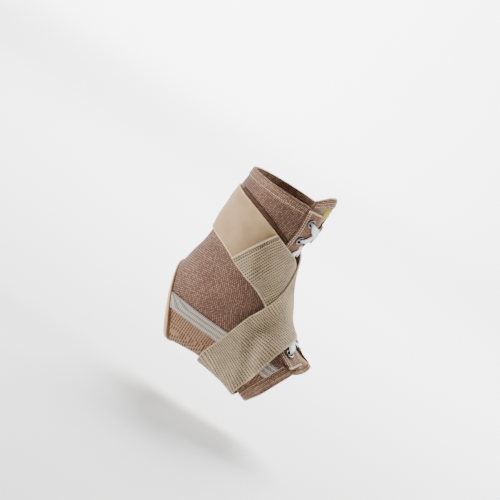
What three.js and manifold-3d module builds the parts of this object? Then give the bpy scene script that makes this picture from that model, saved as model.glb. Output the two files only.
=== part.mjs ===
// Lace-up ankle brace for a right foot, in the shape that it has when worn.
// Millimetres. Z runs up the leg, X towards the toes and Y to the medial side.
// The origin is the middle of the ankle.
//
// Every cloth piece lies on one form, the hollow for leg and foot. The form is
// a fan of sections: s counts them from the rim (0) to the foot hem (10), and
// t is the angle round a section, 0 at the front and 180 degrees at the back
// or sole. The lateral side has negative t.

import * as THREE from "three";
import { mergeVertices } from "three/addons/utils/BufferGeometryUtils.js";
import Module from "manifold-3d";

const wasm = await Module();
wasm.setup();

// Sizes of the form
const LEG_HEIGHT = 100;
const SOLE_DEPTH = 85;
const SHIN_REACH = 40;
const HEEL_REACH = 65;
const TOE_REACH = 98;
const HALF_WIDTH = 36.5;

// Cloth walls
const KNIT_WALL = 2;
const ARCH_WALL = 2;
const TONGUE_WALL = 1.8;
const PLACKET_WALL = 1.6;
const BAND_WALL = 1.5;
const STRAP_WALL = 1.6;
const HEM_WALL = 1;
const SELVEDGE_WALL = 1;
const LABEL_WALL = 1;

// Clearances between layers, along the seams, and round hard trim
const LAYER_GAP = 0.6;
const CROSSING_GAP = 1.5;
const STRAP_EASE = 0.5;
const SEAM_GAP = 0.4;
const TRIM_GAP = 0.5;
const TONGUE_GAP = 0.8;

// Heel opening: a slanted cut, its top at the heel cord and its foot below
const HEEL_TOP_X = -57;
const HEEL_TOP_Z = -15;
const HEEL_LOW_X = -29;
const HEEL_LOW_Z = -80;
const BINDING_WIDTH = 5.2;
const BINDING_HEIGHT = 4.4;

// Side seam between sleeve and arch band, and the selvedge below it
const SEAM_BACK_Z = -38;
const SEAM_SLOPE = -0.06;
const SELVEDGE_WIDTH = 14;

// Lacing
const GAP_TOP = 24;
const GAP_MIDDLE = 8.5;
const GAP_TOE = 27;
const PLACKET_WIDTH = 18.5;
const PLACKET_OVERLAP = 2;
const PLACKET_LIFT = 0.9;
const EYELET_ROWS = 8;
const EYELET_INSET = 8.8;
const EYELET_RADIUS = 4.6;
const EYELET_HOLE = 2.2;
const EYELET_HEIGHT = 0.9;
const EYELET_MARGIN_TOP = 13;
const EYELET_MARGIN_TOE = 14;
const BARREL_WALL = 0.5;
const LACE_WIDTH = 6.2;
const LACE_THICKNESS = 1.2;

// Tongue
const TONGUE_WIDTH = 54;
const TONGUE_TOE_WIDTH = 66;
const TONGUE_RISE = 17;
const TONGUE_DROP = 7;
const TONGUE_BULGE = 1.6;
const LABEL_WIDTH = 20;
const LABEL_HEIGHT = 11;

// Hems, band and straps
const TOP_HEM_DEPTH = 9;
const FOOT_HEM_DEPTH = 8;
const TONGUE_HEM_DEPTH = 8;
const BAND_WIDTH = 49;
const BAND_EDGE_WIDTH = 4;
const STRAP_WIDTH = 49;

const KNIT = { color: 0xa5826e, roughness: 0.95, metalness: 0 };
const RIB = { color: 0xa9876c, roughness: 0.95, metalness: 0 };
const ELASTIC = { color: 0xbea888, roughness: 0.9, metalness: 0 };
const VELOUR = { color: 0xc8b08e, roughness: 1, metalness: 0 };
const SELVEDGE = { color: 0xbeb4a5, roughness: 0.9, metalness: 0 };
const BINDING = { color: 0xcdaa82, roughness: 0.85, metalness: 0 };
const PLACKET = { color: 0x966e55, roughness: 0.9, metalness: 0 };
const TONGUE = { color: 0xb9a07d, roughness: 0.95, metalness: 0 };
const HEM = { color: 0xb08a76, roughness: 0.95, metalness: 0 };
const TAPE = { color: 0x502d18, roughness: 0.9, metalness: 0 };
const LABEL = { color: 0xc8aa14, roughness: 0.7, metalness: 0 };
const LACE = { color: 0xe1e4e8, roughness: 0.8, metalness: 0 };
const NICKEL = { color: 0xb8babd, roughness: 0.25, metalness: 1 };

// Sections of the form. Each has its front and back point as x and z, its half
// width, how far it is wider in front, and how square its front and back are.
const SECTIONS = [
  {
    front: [1.00 * SHIN_REACH, 0.99 * LEG_HEIGHT], back: [-0.65 * HEEL_REACH, 1.01 * LEG_HEIGHT],
    half: 0.92 * HALF_WIDTH, taper: 0.04, square: [0, 0],
  },
  {
    front: [0.93 * SHIN_REACH, 0.75 * LEG_HEIGHT], back: [-0.69 * HEEL_REACH, 0.80 * LEG_HEIGHT],
    half: 0.89 * HALF_WIDTH, taper: 0.06, square: [0, 0],
  },
  {
    front: [0.79 * SHIN_REACH, 0.51 * LEG_HEIGHT], back: [-0.73 * HEEL_REACH, 0.52 * LEG_HEIGHT],
    half: 0.86 * HALF_WIDTH, taper: 0.10, square: [0, 0],
  },
  {
    front: [0.87 * SHIN_REACH, 0.31 * LEG_HEIGHT], back: [-0.73 * HEEL_REACH, 0.24 * LEG_HEIGHT],
    half: 0.89 * HALF_WIDTH, taper: 0.14, square: [0, 0],
  },
  {
    front: [1.04 * SHIN_REACH, 0.14 * LEG_HEIGHT], back: [-0.81 * HEEL_REACH, 0],
    half: 0.96 * HALF_WIDTH, taper: 0.14, square: [0, 0.02],
  },
  {
    front: [0.50 * TOE_REACH, 0.02 * LEG_HEIGHT], back: [-0.92 * HEEL_REACH, -0.33 * SOLE_DEPTH],
    half: HALF_WIDTH, taper: 0.08, square: [0, 0.03],
  },
  {
    front: [0.56 * TOE_REACH, -0.10 * SOLE_DEPTH], back: [-HEEL_REACH, -0.68 * SOLE_DEPTH],
    half: 0.96 * HALF_WIDTH, taper: 0, square: [0, 0.05],
  },
  {
    front: [0.63 * TOE_REACH, -0.19 * SOLE_DEPTH], back: [-0.61 * HEEL_REACH, -0.96 * SOLE_DEPTH],
    half: 0.90 * HALF_WIDTH, taper: -0.06, square: [0, 0.08],
  },
  {
    front: [0.72 * TOE_REACH, -0.27 * SOLE_DEPTH], back: [0.05 * TOE_REACH, -0.94 * SOLE_DEPTH],
    half: 0.89 * HALF_WIDTH, taper: -0.10, square: [0.01, 0.10],
  },
  {
    front: [0.85 * TOE_REACH, -0.34 * SOLE_DEPTH], back: [0.43 * TOE_REACH, -0.98 * SOLE_DEPTH],
    half: 0.93 * HALF_WIDTH, taper: -0.12, square: [0.02, 0.11],
  },
  {
    front: [TOE_REACH, -0.41 * SOLE_DEPTH], back: [0.72 * TOE_REACH, -1.05 * SOLE_DEPTH],
    half: 0.99 * HALF_WIDTH, taper: -0.12, square: [0.03, 0.11],
  },
].map(({ front, back, half, taper, square }) => ({
  frontX: front[0], frontZ: front[1], backX: back[0], backZ: back[1],
  half, taper, squareFront: square[0], squareBack: square[1],
}));
const LAST = SECTIONS.length - 1;

// Middle lines of the flat bands, each from its first end to its last, as
// section numbers and degrees. The two straps are wrapped by hand, so they
// don't quite mirror each other.
const BAND_LINE = [
  { s: 3.75, deg: -10 }, { s: 3.22, deg: -31 }, { s: 2.78, deg: -55 }, { s: 2.44, deg: -76 },
  { s: 2.13, deg: -102 }, { s: 1.93, deg: -137 }, { s: 1.86, deg: -180 }, { s: 1.93, deg: -223 },
  { s: 2.13, deg: -258 }, { s: 2.44, deg: -284 }, { s: 2.78, deg: -305 }, { s: 3.22, deg: -329 },
  { s: 3.75, deg: -350 },
];
const LATERAL_STRAP_LINE = [
  { s: 8.78, deg: -176 }, { s: 8.75, deg: -140 }, { s: 8.52, deg: -102 }, { s: 7.94, deg: -68 },
  { s: 7.06, deg: -36 }, { s: 6.02, deg: -13 }, { s: 4.7, deg: 9 }, { s: 3.55, deg: 31 },
  { s: 2.85, deg: 55 }, { s: 2.44, deg: 76 },
];
const MEDIAL_STRAP_LINE = [
  { s: 8.78, deg: 176 }, { s: 8.75, deg: 140 }, { s: 8.52, deg: 102 }, { s: 7.94, deg: 68 },
  { s: 7.08, deg: 36 }, { s: 6.15, deg: 14 }, { s: 4.25, deg: -9 }, { s: 3.27, deg: -31 },
  { s: 2.78, deg: -55 }, { s: 2.44, deg: -76 },
];

const radians = THREE.MathUtils.degToRad;

// Row of the form at a whole or broken number, on a smooth curve through the
// table and straight on past its ends.
function rowAt(s) {
  const i = Math.min(Math.max(Math.floor(s), 0), LAST - 1);
  const f = s - i;
  const before = SECTIONS[Math.max(i - 1, 0)];
  const from = SECTIONS[i];
  const to = SECTIONS[i + 1];
  const after = SECTIONS[Math.min(i + 2, LAST)];
  const row = {};
  for (const key of Object.keys(from)) {
    const slopeFrom = (to[key] - before[key]) / (i === 0 ? 1 : 2);
    const slopeTo = (after[key] - from[key]) / (i + 2 > LAST ? 1 : 2);
    if (f < 0) row[key] = from[key] + f * slopeFrom;
    else if (f > 1) row[key] = to[key] + (f - 1) * slopeTo;
    else row[key] = hermite(from[key], slopeFrom, to[key], slopeTo, f);
  }
  return row;
}

function hermite(a, slopeA, b, slopeB, f) {
  const f2 = f * f;
  const f3 = f2 * f;
  return (2 * f3 - 3 * f2 + 1) * a + (f3 - 2 * f2 + f) * slopeA + (3 * f2 - 2 * f3) * b + (f3 - f2) * slopeB;
}

// Point of the form.
function skin(s, t) {
  const row = rowAt(s);
  const square = row.squareFront + (row.squareBack - row.squareFront) * (1 - Math.cos(t)) / 2;
  const along = (Math.cos(t) - square * Math.cos(3 * t)) / (1 - square);
  const side = (Math.sin(t) + square * Math.sin(3 * t)) / (1 - square);
  const x = (row.frontX + row.backX) / 2 + along * (row.frontX - row.backX) / 2;
  const y = row.half * side * (1 + row.taper * Math.cos(t));
  const z = (row.frontZ + row.backZ) / 2 + along * (row.frontZ - row.backZ) / 2;
  return new THREE.Vector3(x, y, z);
}

// Change of the point with s and with t.
function partials(s, t) {
  const step = 0.01;
  const alongS = skin(s + step, t).sub(skin(s - step, t)).divideScalar(2 * step);
  const alongT = skin(s, t + step).sub(skin(s, t - step)).divideScalar(2 * step);
  return { alongS, alongT };
}

function outward(s, t) {
  const { alongS, alongT } = partials(s, t);
  return alongS.cross(alongT).normalize();
}

// Point at a height over the form.
function lifted(s, t, height) {
  return skin(s, t).addScaledVector(outward(s, t), height);
}

// Length round the section from the front line, negative on the lateral side.
function arcFromFront(s, t) {
  const turns = Math.round(t / (2 * Math.PI));
  const angle = t - turns * 2 * Math.PI;
  const steps = 16;
  let length = 0;
  let last = skin(s, 0);
  for (let i = 1; i <= steps; i++) {
    const next = skin(s, angle * i / steps);
    length += next.distanceTo(last);
    last = next;
  }
  return Math.sign(angle) * length;
}

function angleAtArc(s, arc) {
  let t = arc / HALF_WIDTH;
  for (let i = 0; i < 6; i++) t += (arc - arcFromFront(s, t)) / partials(s, t).alongT.length();
  return t;
}

// Section number at a length along the front line from the rim.
function sectionAtLength(length) {
  const step = 0.02;
  let s = 0;
  let walked = 0;
  while (walked < Math.abs(length)) {
    walked += skin(s, 0).distanceTo(skin(s + Math.sign(length) * step, 0));
    s += Math.sign(length) * step;
  }
  return s;
}

// Root of a rising or falling value between two inputs.
function rootBetween(low, high, value) {
  const sign = Math.sign(value(low));
  for (let i = 0; i < 40; i++) {
    const middle = (low + high) / 2;
    if (Math.sign(value(middle)) === sign) low = middle;
    else high = middle;
  }
  return (low + high) / 2;
}

// 1 inside a zone, easing to 0 at its fade length outside it.
function nearness(distance, fade) {
  const f = Math.min(Math.max(1 - distance / fade, 0), 1);
  return f * f * (3 - 2 * f);
}

// How far the cloth's edge keeps from the middle of the heel binding.
const CUT_AWAY = BINDING_WIDTH / 2 + SEAM_GAP;

// Heel opening: side of its slanted cut, positive on the cloth.
const HEEL_CUT = new THREE.Vector3(HEEL_TOP_Z - HEEL_LOW_Z, 0, HEEL_LOW_X - HEEL_TOP_X).normalize();
const HEEL_POINT = new THREE.Vector3(HEEL_TOP_X, 0, HEEL_TOP_Z);

function besideHeelCut(s, t, away) {
  const normal = outward(s, t);
  const inCloth = HEEL_CUT.clone().addScaledVector(normal, -HEEL_CUT.dot(normal)).length();
  return skin(s, t).sub(HEEL_POINT).dot(HEEL_CUT) - away * inCloth;
}

// Angle of the heel opening's edge on a section, on the lateral side.
function heelAngle(s, away) {
  return -rootBetween(radians(60), Math.PI, (t) => besideHeelCut(s, -t, away));
}

// First and last section that the opening cuts through at the middle line.
const heelTop = (away) => rootBetween(3, 5.5, (s) => besideHeelCut(s, Math.PI, away));
const heelLow = (away) => rootBetween(6, 9, (s) => besideHeelCut(s, Math.PI, away));

// Height of a point over the side seam.
function overSeam(point) {
  return point.z - SEAM_BACK_Z - SEAM_SLOPE * (point.x - HEEL_TOP_X);
}

function seamAngle(s, height) {
  return -rootBetween(0, Math.PI, (t) => overSeam(skin(s, -t)) - height);
}

// Section on which the heel cut meets the side seam.
function seamCorner(height) {
  const above = heelTop(CUT_AWAY) + 0.05;
  return rootBetween(above, 7, (s) => heelAngle(s, CUT_AWAY) - seamAngle(s, height));
}

// Half of the lacing gap at a section. It narrows over the first sections
// below the rim and widens again over the last ones before the foot hem.
const GAP_NARROWS = 3;
const GAP_WIDENS = 4;

function halfGap(s) {
  const top = Math.max(1 - Math.max(s, 0) / GAP_NARROWS, 0);
  const toe = Math.max(1 - (LAST - Math.min(s, LAST)) / GAP_WIDENS, 0);
  const gap = GAP_MIDDLE + (GAP_TOP - GAP_MIDDLE) * top ** 2 + (GAP_TOE - GAP_MIDDLE) * toe ** 2;
  return gap / 2;
}

const placketBack = (s) => halfGap(s) + PLACKET_WIDTH;
const sleeveFront = (s) => placketBack(s) - PLACKET_OVERLAP;

// Triangles of a cloth sheet from its grid of outer and inner points. A side
// that its mirror image continues is left open.
function sheetTriangles(grid, shared = () => false) {
  const out = [];
  const quad = (a, b, c, d) => out.push(a, b, c, a, c, d);
  const rows = grid.length - 1;
  const end = grid[0].length - 1;
  for (let i = 0; i < rows; i++) {
    const p = grid[i];
    const q = grid[i + 1];
    for (let j = 0; j < end; j++) {
      quad(p[j].outer, p[j + 1].outer, q[j + 1].outer, q[j].outer);
      quad(p[j].inner, q[j].inner, q[j + 1].inner, p[j + 1].inner);
    }
    quad(p[0].outer, q[0].outer, q[0].inner, p[0].inner);
    if (!shared(i)) quad(q[end].outer, p[end].outer, p[end].inner, q[end].inner);
  }
  for (let j = 0; j < end; j++) {
    const p = grid[0];
    const q = grid[rows];
    quad(p[j + 1].outer, p[j].outer, p[j].inner, p[j + 1].inner);
    quad(q[j].outer, q[j + 1].outer, q[j + 1].inner, q[j].inner);
  }
  return out;
}

// Same triangles on the other side of the foot.
function mirrored(points) {
  const out = [];
  for (let i = 0; i < points.length; i += 3) {
    for (const k of [0, 2, 1]) {
      const p = points[i + k];
      out.push(new THREE.Vector3(p.x, -p.y, p.z));
    }
  }
  return out;
}

// Closed geometry from triangles, with its faces turned outwards.
function solid(points) {
  let volume = 0;
  for (let i = 0; i < points.length; i += 3) {
    volume += points[i].dot(points[i + 1].clone().cross(points[i + 2]));
  }
  const order = volume < 0 ? [0, 2, 1] : [0, 1, 2];
  const values = [];
  for (let i = 0; i < points.length; i += 3) {
    for (const k of order) values.push(points[i + k].x, points[i + k].y, points[i + k].z);
  }
  const geometry = new THREE.BufferGeometry();
  geometry.setAttribute("position", new THREE.Float32BufferAttribute(values, 3));
  return mergeVertices(geometry, 1e-4);
}

// A loft through rings of equal size, capped or closed on itself.
function loft(rings, closed = false) {
  const out = [];
  const count = rings.length;
  const sides = rings[0].length;
  for (let i = 0; i < (closed ? count : count - 1); i++) {
    const p = rings[i];
    const q = rings[(i + 1) % count];
    for (let j = 0; j < sides; j++) {
      const k = (j + 1) % sides;
      out.push(p[j], q[j], q[k], p[j], q[k], p[k]);
    }
  }
  if (!closed) {
    for (let j = 1; j < sides - 1; j++) {
      out.push(rings[0][0], rings[0][j], rings[0][j + 1]);
      out.push(rings[count - 1][0], rings[count - 1][j + 1], rings[count - 1][j]);
    }
  }
  return solid(out);
}

// Grid point with its two faces.
function layer(s, t, low, wall) {
  const base = skin(s, t);
  const normal = outward(s, t);
  const inner = base.clone().addScaledVector(normal, low);
  const outer = base.clone().addScaledVector(normal, low + wall);
  if (Math.abs(Math.abs(t) - Math.PI) < 1e-9) {
    inner.y = 0;
    outer.y = 0;
  }
  return { inner, outer };
}

// Grid over sections, between two angles that depend on the section.
function gridOf(stations, columns, from, to, low, wall) {
  return stations.map((s) => {
    const start = from(s);
    const end = to(s);
    const cells = [];
    for (let j = 0; j <= columns; j++) cells.push(layer(s, start + (end - start) * j / columns, low, wall));
    return cells;
  });
}

function stationsBetween(from, to, step) {
  const count = Math.max(1, Math.round((to - from) / step));
  return Array.from({ length: count + 1 }, (_, i) => from + (to - from) * i / count);
}

// Stations that lie closer together near the first one.
function unevenStations(from, to, count) {
  return Array.from({ length: count + 1 }, (_, i) => from + (to - from) * (i / count) ** 2);
}

function mesh(name, geometry, finish) {
  const object = new THREE.Mesh(geometry, new THREE.MeshStandardMaterial(finish));
  object.name = name;
  return object;
}

// A lateral piece and its medial mirror image.
function pair(name, points, finish) {
  const lateral = mesh(`${name}_lateral`, solid(points), finish);
  const medial = mesh(`${name}_medial`, solid(mirrored(points)), finish);
  return [lateral, medial];
}

// Knitted sleeve, from the rim to the side seams and the heel opening.
function makeSleeve() {
  const top = heelTop(CUT_AWAY);
  const corner = seamCorner(SEAM_GAP / 2);
  const upper = stationsBetween(0, top, 0.45);
  const beside = unevenStations(top, corner, 7).slice(1);
  const foot = stationsBetween(corner, LAST, 0.55).slice(1);
  const stations = [...upper, ...beside, ...foot];
  const rearAngle = (s) => {
    if (s <= top + 1e-9) return -Math.PI;
    return s <= corner ? heelAngle(s, CUT_AWAY) : seamAngle(s, SEAM_GAP / 2);
  };
  const grid = gridOf(stations, 8, (s) => angleAtArc(s, -sleeveFront(s)), rearAngle, 0, KNIT_WALL);
  const half = sheetTriangles(grid, (i) => i < upper.length - 1);
  return mesh("upper_sleeve", solid([...half, ...mirrored(half)]), KNIT);
}

// Ribbed band that wraps the arch and sole from one side seam to the other.
function makeArchBand() {
  const low = heelLow(CUT_AWAY);
  const cutBack = 0.04;
  const beside = unevenStations(low, seamCorner(-SEAM_GAP / 2) + cutBack, 8).reverse();
  const foot = stationsBetween(low, LAST, 0.6).slice(1);
  const rearAngle = (s) => (s >= low - 1e-9 ? -Math.PI : heelAngle(s, CUT_AWAY));
  const frontAngle = (s) => seamAngle(s, -SEAM_GAP / 2);
  const grid = gridOf([...beside, ...foot], 8, frontAngle, rearAngle, 0, ARCH_WALL);
  const half = sheetTriangles(grid, (i) => i >= beside.length - 1);
  return mesh("arch_band", solid([...half, ...mirrored(half)]), RIB);
}

// Smooth elastic strip along the top of the arch band, on each side.
function makeSelvedges() {
  const low = ARCH_WALL + LAYER_GAP;
  const end = LAST - footHemShare() - 0.05;
  const cutBack = 0.06;
  const start = seamCorner(-SEAM_GAP / 2) + cutBack;
  const cutEnd = heelLow(CUT_AWAY);
  const onCut = (s) => (s < cutEnd ? heelAngle(s, CUT_AWAY) : -Math.PI);
  const lower = (s) => Math.max(onCut(s), seamAngle(s, -SELVEDGE_WIDTH));
  const upper = (s) => seamAngle(s, -SEAM_GAP);
  const grid = gridOf(stationsBetween(start, end, 0.3), 2, upper, lower, low, SELVEDGE_WALL);
  return pair("selvedge", sheetTriangles(grid), SELVEDGE);
}

// Padded binding, one closed ring round the heel opening.
function makeHeelBinding() {
  const top = heelTop(0);
  const depth = heelLow(0) - top;
  const count = 24;
  const lateral = Array.from({ length: count + 1 }, (_, i) => {
    const s = top + depth * (1 - Math.cos(Math.PI * i / count)) / 2;
    return { s, t: i === 0 || i === count ? -Math.PI : heelAngle(s, 0) };
  });
  const medial = lateral.slice(1, -1).reverse().map(({ s, t }) => ({ s, t: -t }));
  const path = evenLoop([...lateral, ...medial], 34);
  const sides = 6;
  const rings = path.map(({ s, t }, i) => {
    const before = path[(i + path.length - 1) % path.length];
    const after = path[(i + 1) % path.length];
    const along = skin(after.s, after.t).sub(skin(before.s, before.t)).normalize();
    const normal = outward(s, t);
    const across = along.clone().cross(normal).normalize();
    const middle = lifted(s, t, KNIT_WALL / 2);
    return Array.from({ length: sides }, (_, k) => {
      const angle = 2 * Math.PI * k / sides;
      const wide = Math.cos(angle) * BINDING_WIDTH / 2;
      const high = Math.sin(angle) * BINDING_HEIGHT / 2;
      return middle.clone().addScaledVector(across, wide).addScaledVector(normal, high);
    });
  });
  return mesh("heel_binding", loft(rings, true), BINDING);
}

// Places at even distances round a closed path on the form.
function evenLoop(path, count) {
  const closed = [...path, path[0]];
  const lengths = [0];
  for (let i = 1; i < closed.length; i++) {
    const step = skin(closed[i].s, closed[i].t).distanceTo(skin(closed[i - 1].s, closed[i - 1].t));
    lengths.push(lengths[i - 1] + step);
  }
  const total = lengths[lengths.length - 1];
  return Array.from({ length: count }, (_, k) => {
    const target = total * k / count;
    let i = 1;
    while (lengths[i] < target) i++;
    const f = (target - lengths[i - 1]) / (lengths[i] - lengths[i - 1]);
    return blendPlace(closed[i - 1], closed[i], f);
  });
}

// Place part of the way from one to another, the short way round.
function blendPlace(a, b, f) {
  const turn = b.t - a.t - 2 * Math.PI * Math.round((b.t - a.t) / (2 * Math.PI));
  return { s: a.s + (b.s - a.s) * f, t: a.t + turn * f };
}

// Share of one section step that a depth takes at the rim or at the foot hem.
const topHemShare = () => TOP_HEM_DEPTH / skin(0, Math.PI / 2).distanceTo(skin(1, Math.PI / 2));
const footHemShare = () => FOOT_HEM_DEPTH / skin(LAST, Math.PI / 2).distanceTo(skin(LAST - 1, Math.PI / 2));

function makeHem(name, stations) {
  const start = (s) => angleAtArc(s, -placketBack(s) - LAYER_GAP);
  const grid = gridOf(stations, 12, start, () => -Math.PI, KNIT_WALL + LAYER_GAP, HEM_WALL);
  const half = sheetTriangles(grid, () => true);
  return mesh(name, solid([...half, ...mirrored(half)]), HEM);
}

// Height of a placket's inner face: over the sleeve's edge, then down to the
// lacing. Columns are lengths from the placket's front edge.
const PLACKET_COLUMNS = [
  { from: 0, over: false },
  { from: EYELET_INSET / 2, over: false },
  { from: EYELET_INSET, over: false },
  { from: PLACKET_WIDTH - PLACKET_OVERLAP - 2.4, over: false },
  { from: PLACKET_WIDTH - PLACKET_OVERLAP - 0.7, over: true },
  { from: PLACKET_WIDTH, over: true },
];

const placketLow = (over) => (over ? KNIT_WALL + LAYER_GAP : PLACKET_LIFT);

function makePlackets(eyelets) {
  const grid = stationsBetween(0, LAST, 0.48).map((s) => PLACKET_COLUMNS.map(({ from, over }) => {
    const t = angleAtArc(s, -halfGap(s) - from);
    return layer(s, t, placketLow(over), PLACKET_WALL);
  }));
  return pair("placket", sheetTriangles(grid), PLACKET).map((placket, side) => {
    let body = toManifold(placket.geometry);
    for (const eyelet of eyelets[side]) body = body.subtract(toManifold(punch(eyelet)));
    placket.geometry = fromManifold(body);
    return placket;
  });
}

// Where the eyelets sit, as rows for the lateral and the medial side.
function eyeletPlaces() {
  const first = sectionAtLength(EYELET_MARGIN_TOP);
  const fullLength = frontLength(0, LAST);
  const pitch = (fullLength - EYELET_MARGIN_TOP - EYELET_MARGIN_TOE) / (EYELET_ROWS - 1);
  return [-1, 1].map((side) => Array.from({ length: EYELET_ROWS }, (_, i) => {
    const s = i === 0 ? first : sectionAtLength(EYELET_MARGIN_TOP + i * pitch);
    const arc = side * (halfGap(s) + EYELET_INSET);
    return { s, arc, t: angleAtArc(s, arc) };
  }));
}

function frontLength(from, to) {
  const step = 0.02;
  let length = 0;
  for (let s = from; s < to - step / 2; s += step) length += skin(s, 0).distanceTo(skin(s + step, 0));
  return length;
}

// Turns a piece made about its own Z axis so that it stands on the form.
function standOn(geometry, { s, t }, height) {
  const turn = new THREE.Quaternion().setFromUnitVectors(new THREE.Vector3(0, 0, 1), outward(s, t));
  const at = lifted(s, t, height);
  return geometry.applyMatrix4(new THREE.Matrix4().compose(at, turn, new THREE.Vector3(1, 1, 1)));
}

const EYELET_SIDES = 8;

function punch(place) {
  const radius = EYELET_HOLE + BARREL_WALL + TRIM_GAP;
  const depth = 4 * PLACKET_WALL;
  const cutter = new THREE.CylinderGeometry(radius, radius, depth, EYELET_SIDES).rotateX(Math.PI / 2);
  return standOn(cutter, place, PLACKET_LIFT + PLACKET_WALL / 2);
}

// Rolled metal ring with a short barrel through the placket.
function eyeletGeometry() {
  const barrel = EYELET_HOLE + BARREL_WALL;
  const depth = PLACKET_WALL + TRIM_GAP;
  const profile = [
    [EYELET_HOLE, -depth],
    [barrel, -depth],
    [barrel, 0],
    [EYELET_RADIUS, 0],
    [0.8 * EYELET_RADIUS, EYELET_HEIGHT],
    [EYELET_HOLE, 0.6 * EYELET_HEIGHT],
    [EYELET_HOLE, -depth],
  ].map(([radius, height]) => new THREE.Vector2(radius, height));
  return new THREE.LatheGeometry(profile, EYELET_SIDES).rotateX(Math.PI / 2);
}

function makeEyelets(eyelets) {
  const height = PLACKET_LIFT + PLACKET_WALL + TRIM_GAP;
  return ["lateral", "medial"].flatMap((side, k) => eyelets[k].map((place, i) => {
    const geometry = standOn(eyeletGeometry(), place, height);
    geometry.deleteAttribute("normal");
    geometry.deleteAttribute("uv");
    return mesh(`eyelet_${side}_${i + 1}`, mergeVertices(geometry, 1e-4), NICKEL);
  }));
}

// Heights of the lace: inside the placket, at the crossings and between.
const LACE_INSIDE = (PLACKET_LIFT - TONGUE_GAP) / 2;
const EYELET_TOP = PLACKET_LIFT + PLACKET_WALL + TRIM_GAP + EYELET_HEIGHT;
const LACE_OVER = EYELET_TOP + 2.4 * TRIM_GAP + LACE_THICKNESS / 2;
const LACE_UNDER = LACE_OVER - LACE_THICKNESS - 2.3 * TRIM_GAP;

const INSIDE_WIDTH = 1.35 * EYELET_HOLE;
const INSIDE_THICKNESS = 0.7 * LACE_THICKNESS;

// One lace zigzags down the rows: a slanted run outside, then a short run
// inside the placket. The two laces cross once in each slanted run.
function lacePath(eyelets, firstSide, over) {
  const stops = [];
  for (let row = 0; row + 1 < EYELET_ROWS; row += 2) {
    const side = (firstSide + row / 2) % 2;
    const end = eyelets[1 - side][row + 1];
    slantedRun(eyelets[side][row], end, over, stops);
    if (row + 2 < EYELET_ROWS) insideRun(end, eyelets[1 - side][row + 2], stops);
    over = !over;
  }
  return stops;
}

function insideRun(from, to, stops) {
  for (const f of [0.25, 0.5, 0.75]) {
    const s = from.s + (to.s - from.s) * f;
    const arc = from.arc + (to.arc - from.arc) * f;
    stops.push({ s, arc, height: LACE_INSIDE, width: INSIDE_WIDTH, thickness: INSIDE_THICKNESS });
  }
}

function slantedRun(from, to, over, stops) {
  const shares = [0.11, 0.23, 0.36, 0.5, 0.64, 0.77, 0.89];
  const stop = (s, arc, height, width, thickness) => stops.push({ s, arc, height, width, thickness });
  const narrow = 1.5 * EYELET_HOLE;
  const mouth = LACE_OVER - 0.4 * LACE_THICKNESS;
  stop(from.s, from.arc, LACE_INSIDE, INSIDE_WIDTH, INSIDE_THICKNESS);
  stop(from.s, from.arc, mouth, narrow, LACE_THICKNESS);
  for (const f of shares) {
    const arc = from.arc + (to.arc - from.arc) * f;
    const lift = over ? 1 : 1 - nearness(Math.abs(arc), 1.7 * LACE_WIDTH);
    const height = LACE_UNDER + (LACE_OVER - LACE_UNDER) * lift;
    const width = f === shares[0] || f === shares.at(-1) ? 0.8 * LACE_WIDTH : LACE_WIDTH;
    stop(from.s + (to.s - from.s) * f, arc, height, width, LACE_THICKNESS);
  }
  stop(to.s, to.arc, mouth, narrow, LACE_THICKNESS);
  stop(to.s, to.arc, LACE_INSIDE, INSIDE_WIDTH, INSIDE_THICKNESS);
}

function makeLace(name, stops) {
  const centres = stops.map(({ s, arc, height }) => lifted(s, angleAtArc(s, arc), height));
  const rings = stops.map(({ s, arc, width, thickness }, i) => {
    const along = tangentAt(centres, i);
    const normal = outward(s, angleAtArc(s, arc));
    const across = crossingDirection(centres, i, normal);
    const up = across.clone().cross(along).normalize();
    return flatRing(centres[i], across, up, width, thickness);
  });
  return mesh(name, loft(rings), LACE);
}

function tangentAt(centres, i) {
  const before = centres[Math.max(i - 1, 0)];
  const after = centres[Math.min(i + 1, centres.length - 1)];
  const back = centres[i].clone().sub(before).normalize();
  const forth = after.clone().sub(centres[i]).normalize();
  return back.add(forth).normalize();
}

// Side direction of the lace, level with the cloth, taken over a few stops so
// that it holds where the lace dives through an eyelet.
function crossingDirection(centres, i, normal) {
  const reach = 2;
  const before = centres[Math.max(i - reach, 0)];
  const after = centres[Math.min(i + reach, centres.length - 1)];
  return after.clone().sub(before).cross(normal).normalize();
}

// Flat four-sided section.
function flatRing(centre, across, up, width, thickness) {
  const corners = [[1, 1], [-1, 1], [-1, -1], [1, -1]];
  return corners.map(([x, y]) => {
    const point = centre.clone().addScaledVector(across, x * width / 2);
    return point.addScaledVector(up, y * thickness / 2);
  });
}

// Tongue, under the plackets, out past the rim and past the foot hem.
function tongueHalf(s) {
  const f = Math.min(Math.max(s / LAST, 0), 1);
  return (TONGUE_WIDTH + (TONGUE_TOE_WIDTH - TONGUE_WIDTH) * f * f * f) / 2;
}

function tongueLow(s, arc) {
  const bulge = TONGUE_BULGE * nearness(Math.abs(arc) - 0.2 * halfGap(s), 0.8 * halfGap(s));
  return -TONGUE_GAP - TONGUE_WALL + bulge;
}

const tongueTopEdge = (u) => sectionAtLength(-TONGUE_RISE * (1 - 0.55 * u * u));
const tongueToeEdge = (u) => LAST + TONGUE_DROP / FRONT_STEP * (1 - u ** 4);
const FRONT_STEP = frontLength(LAST - 1, LAST);

function tongueGrid(from, to, rows, columns, low, wall, shareOfWidth = 1) {
  const grid = [];
  for (let i = 0; i <= rows; i++) {
    const cells = [];
    for (let j = 0; j <= columns; j++) {
      const u = shareOfWidth * (2 * j / columns - 1);
      const s = from(u) + (to(u) - from(u)) * i / rows;
      const arc = u * tongueHalf(s);
      cells.push(layer(s, angleAtArc(s, arc), low(s, arc), wall));
    }
    grid.push(cells);
  }
  return grid;
}

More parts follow.
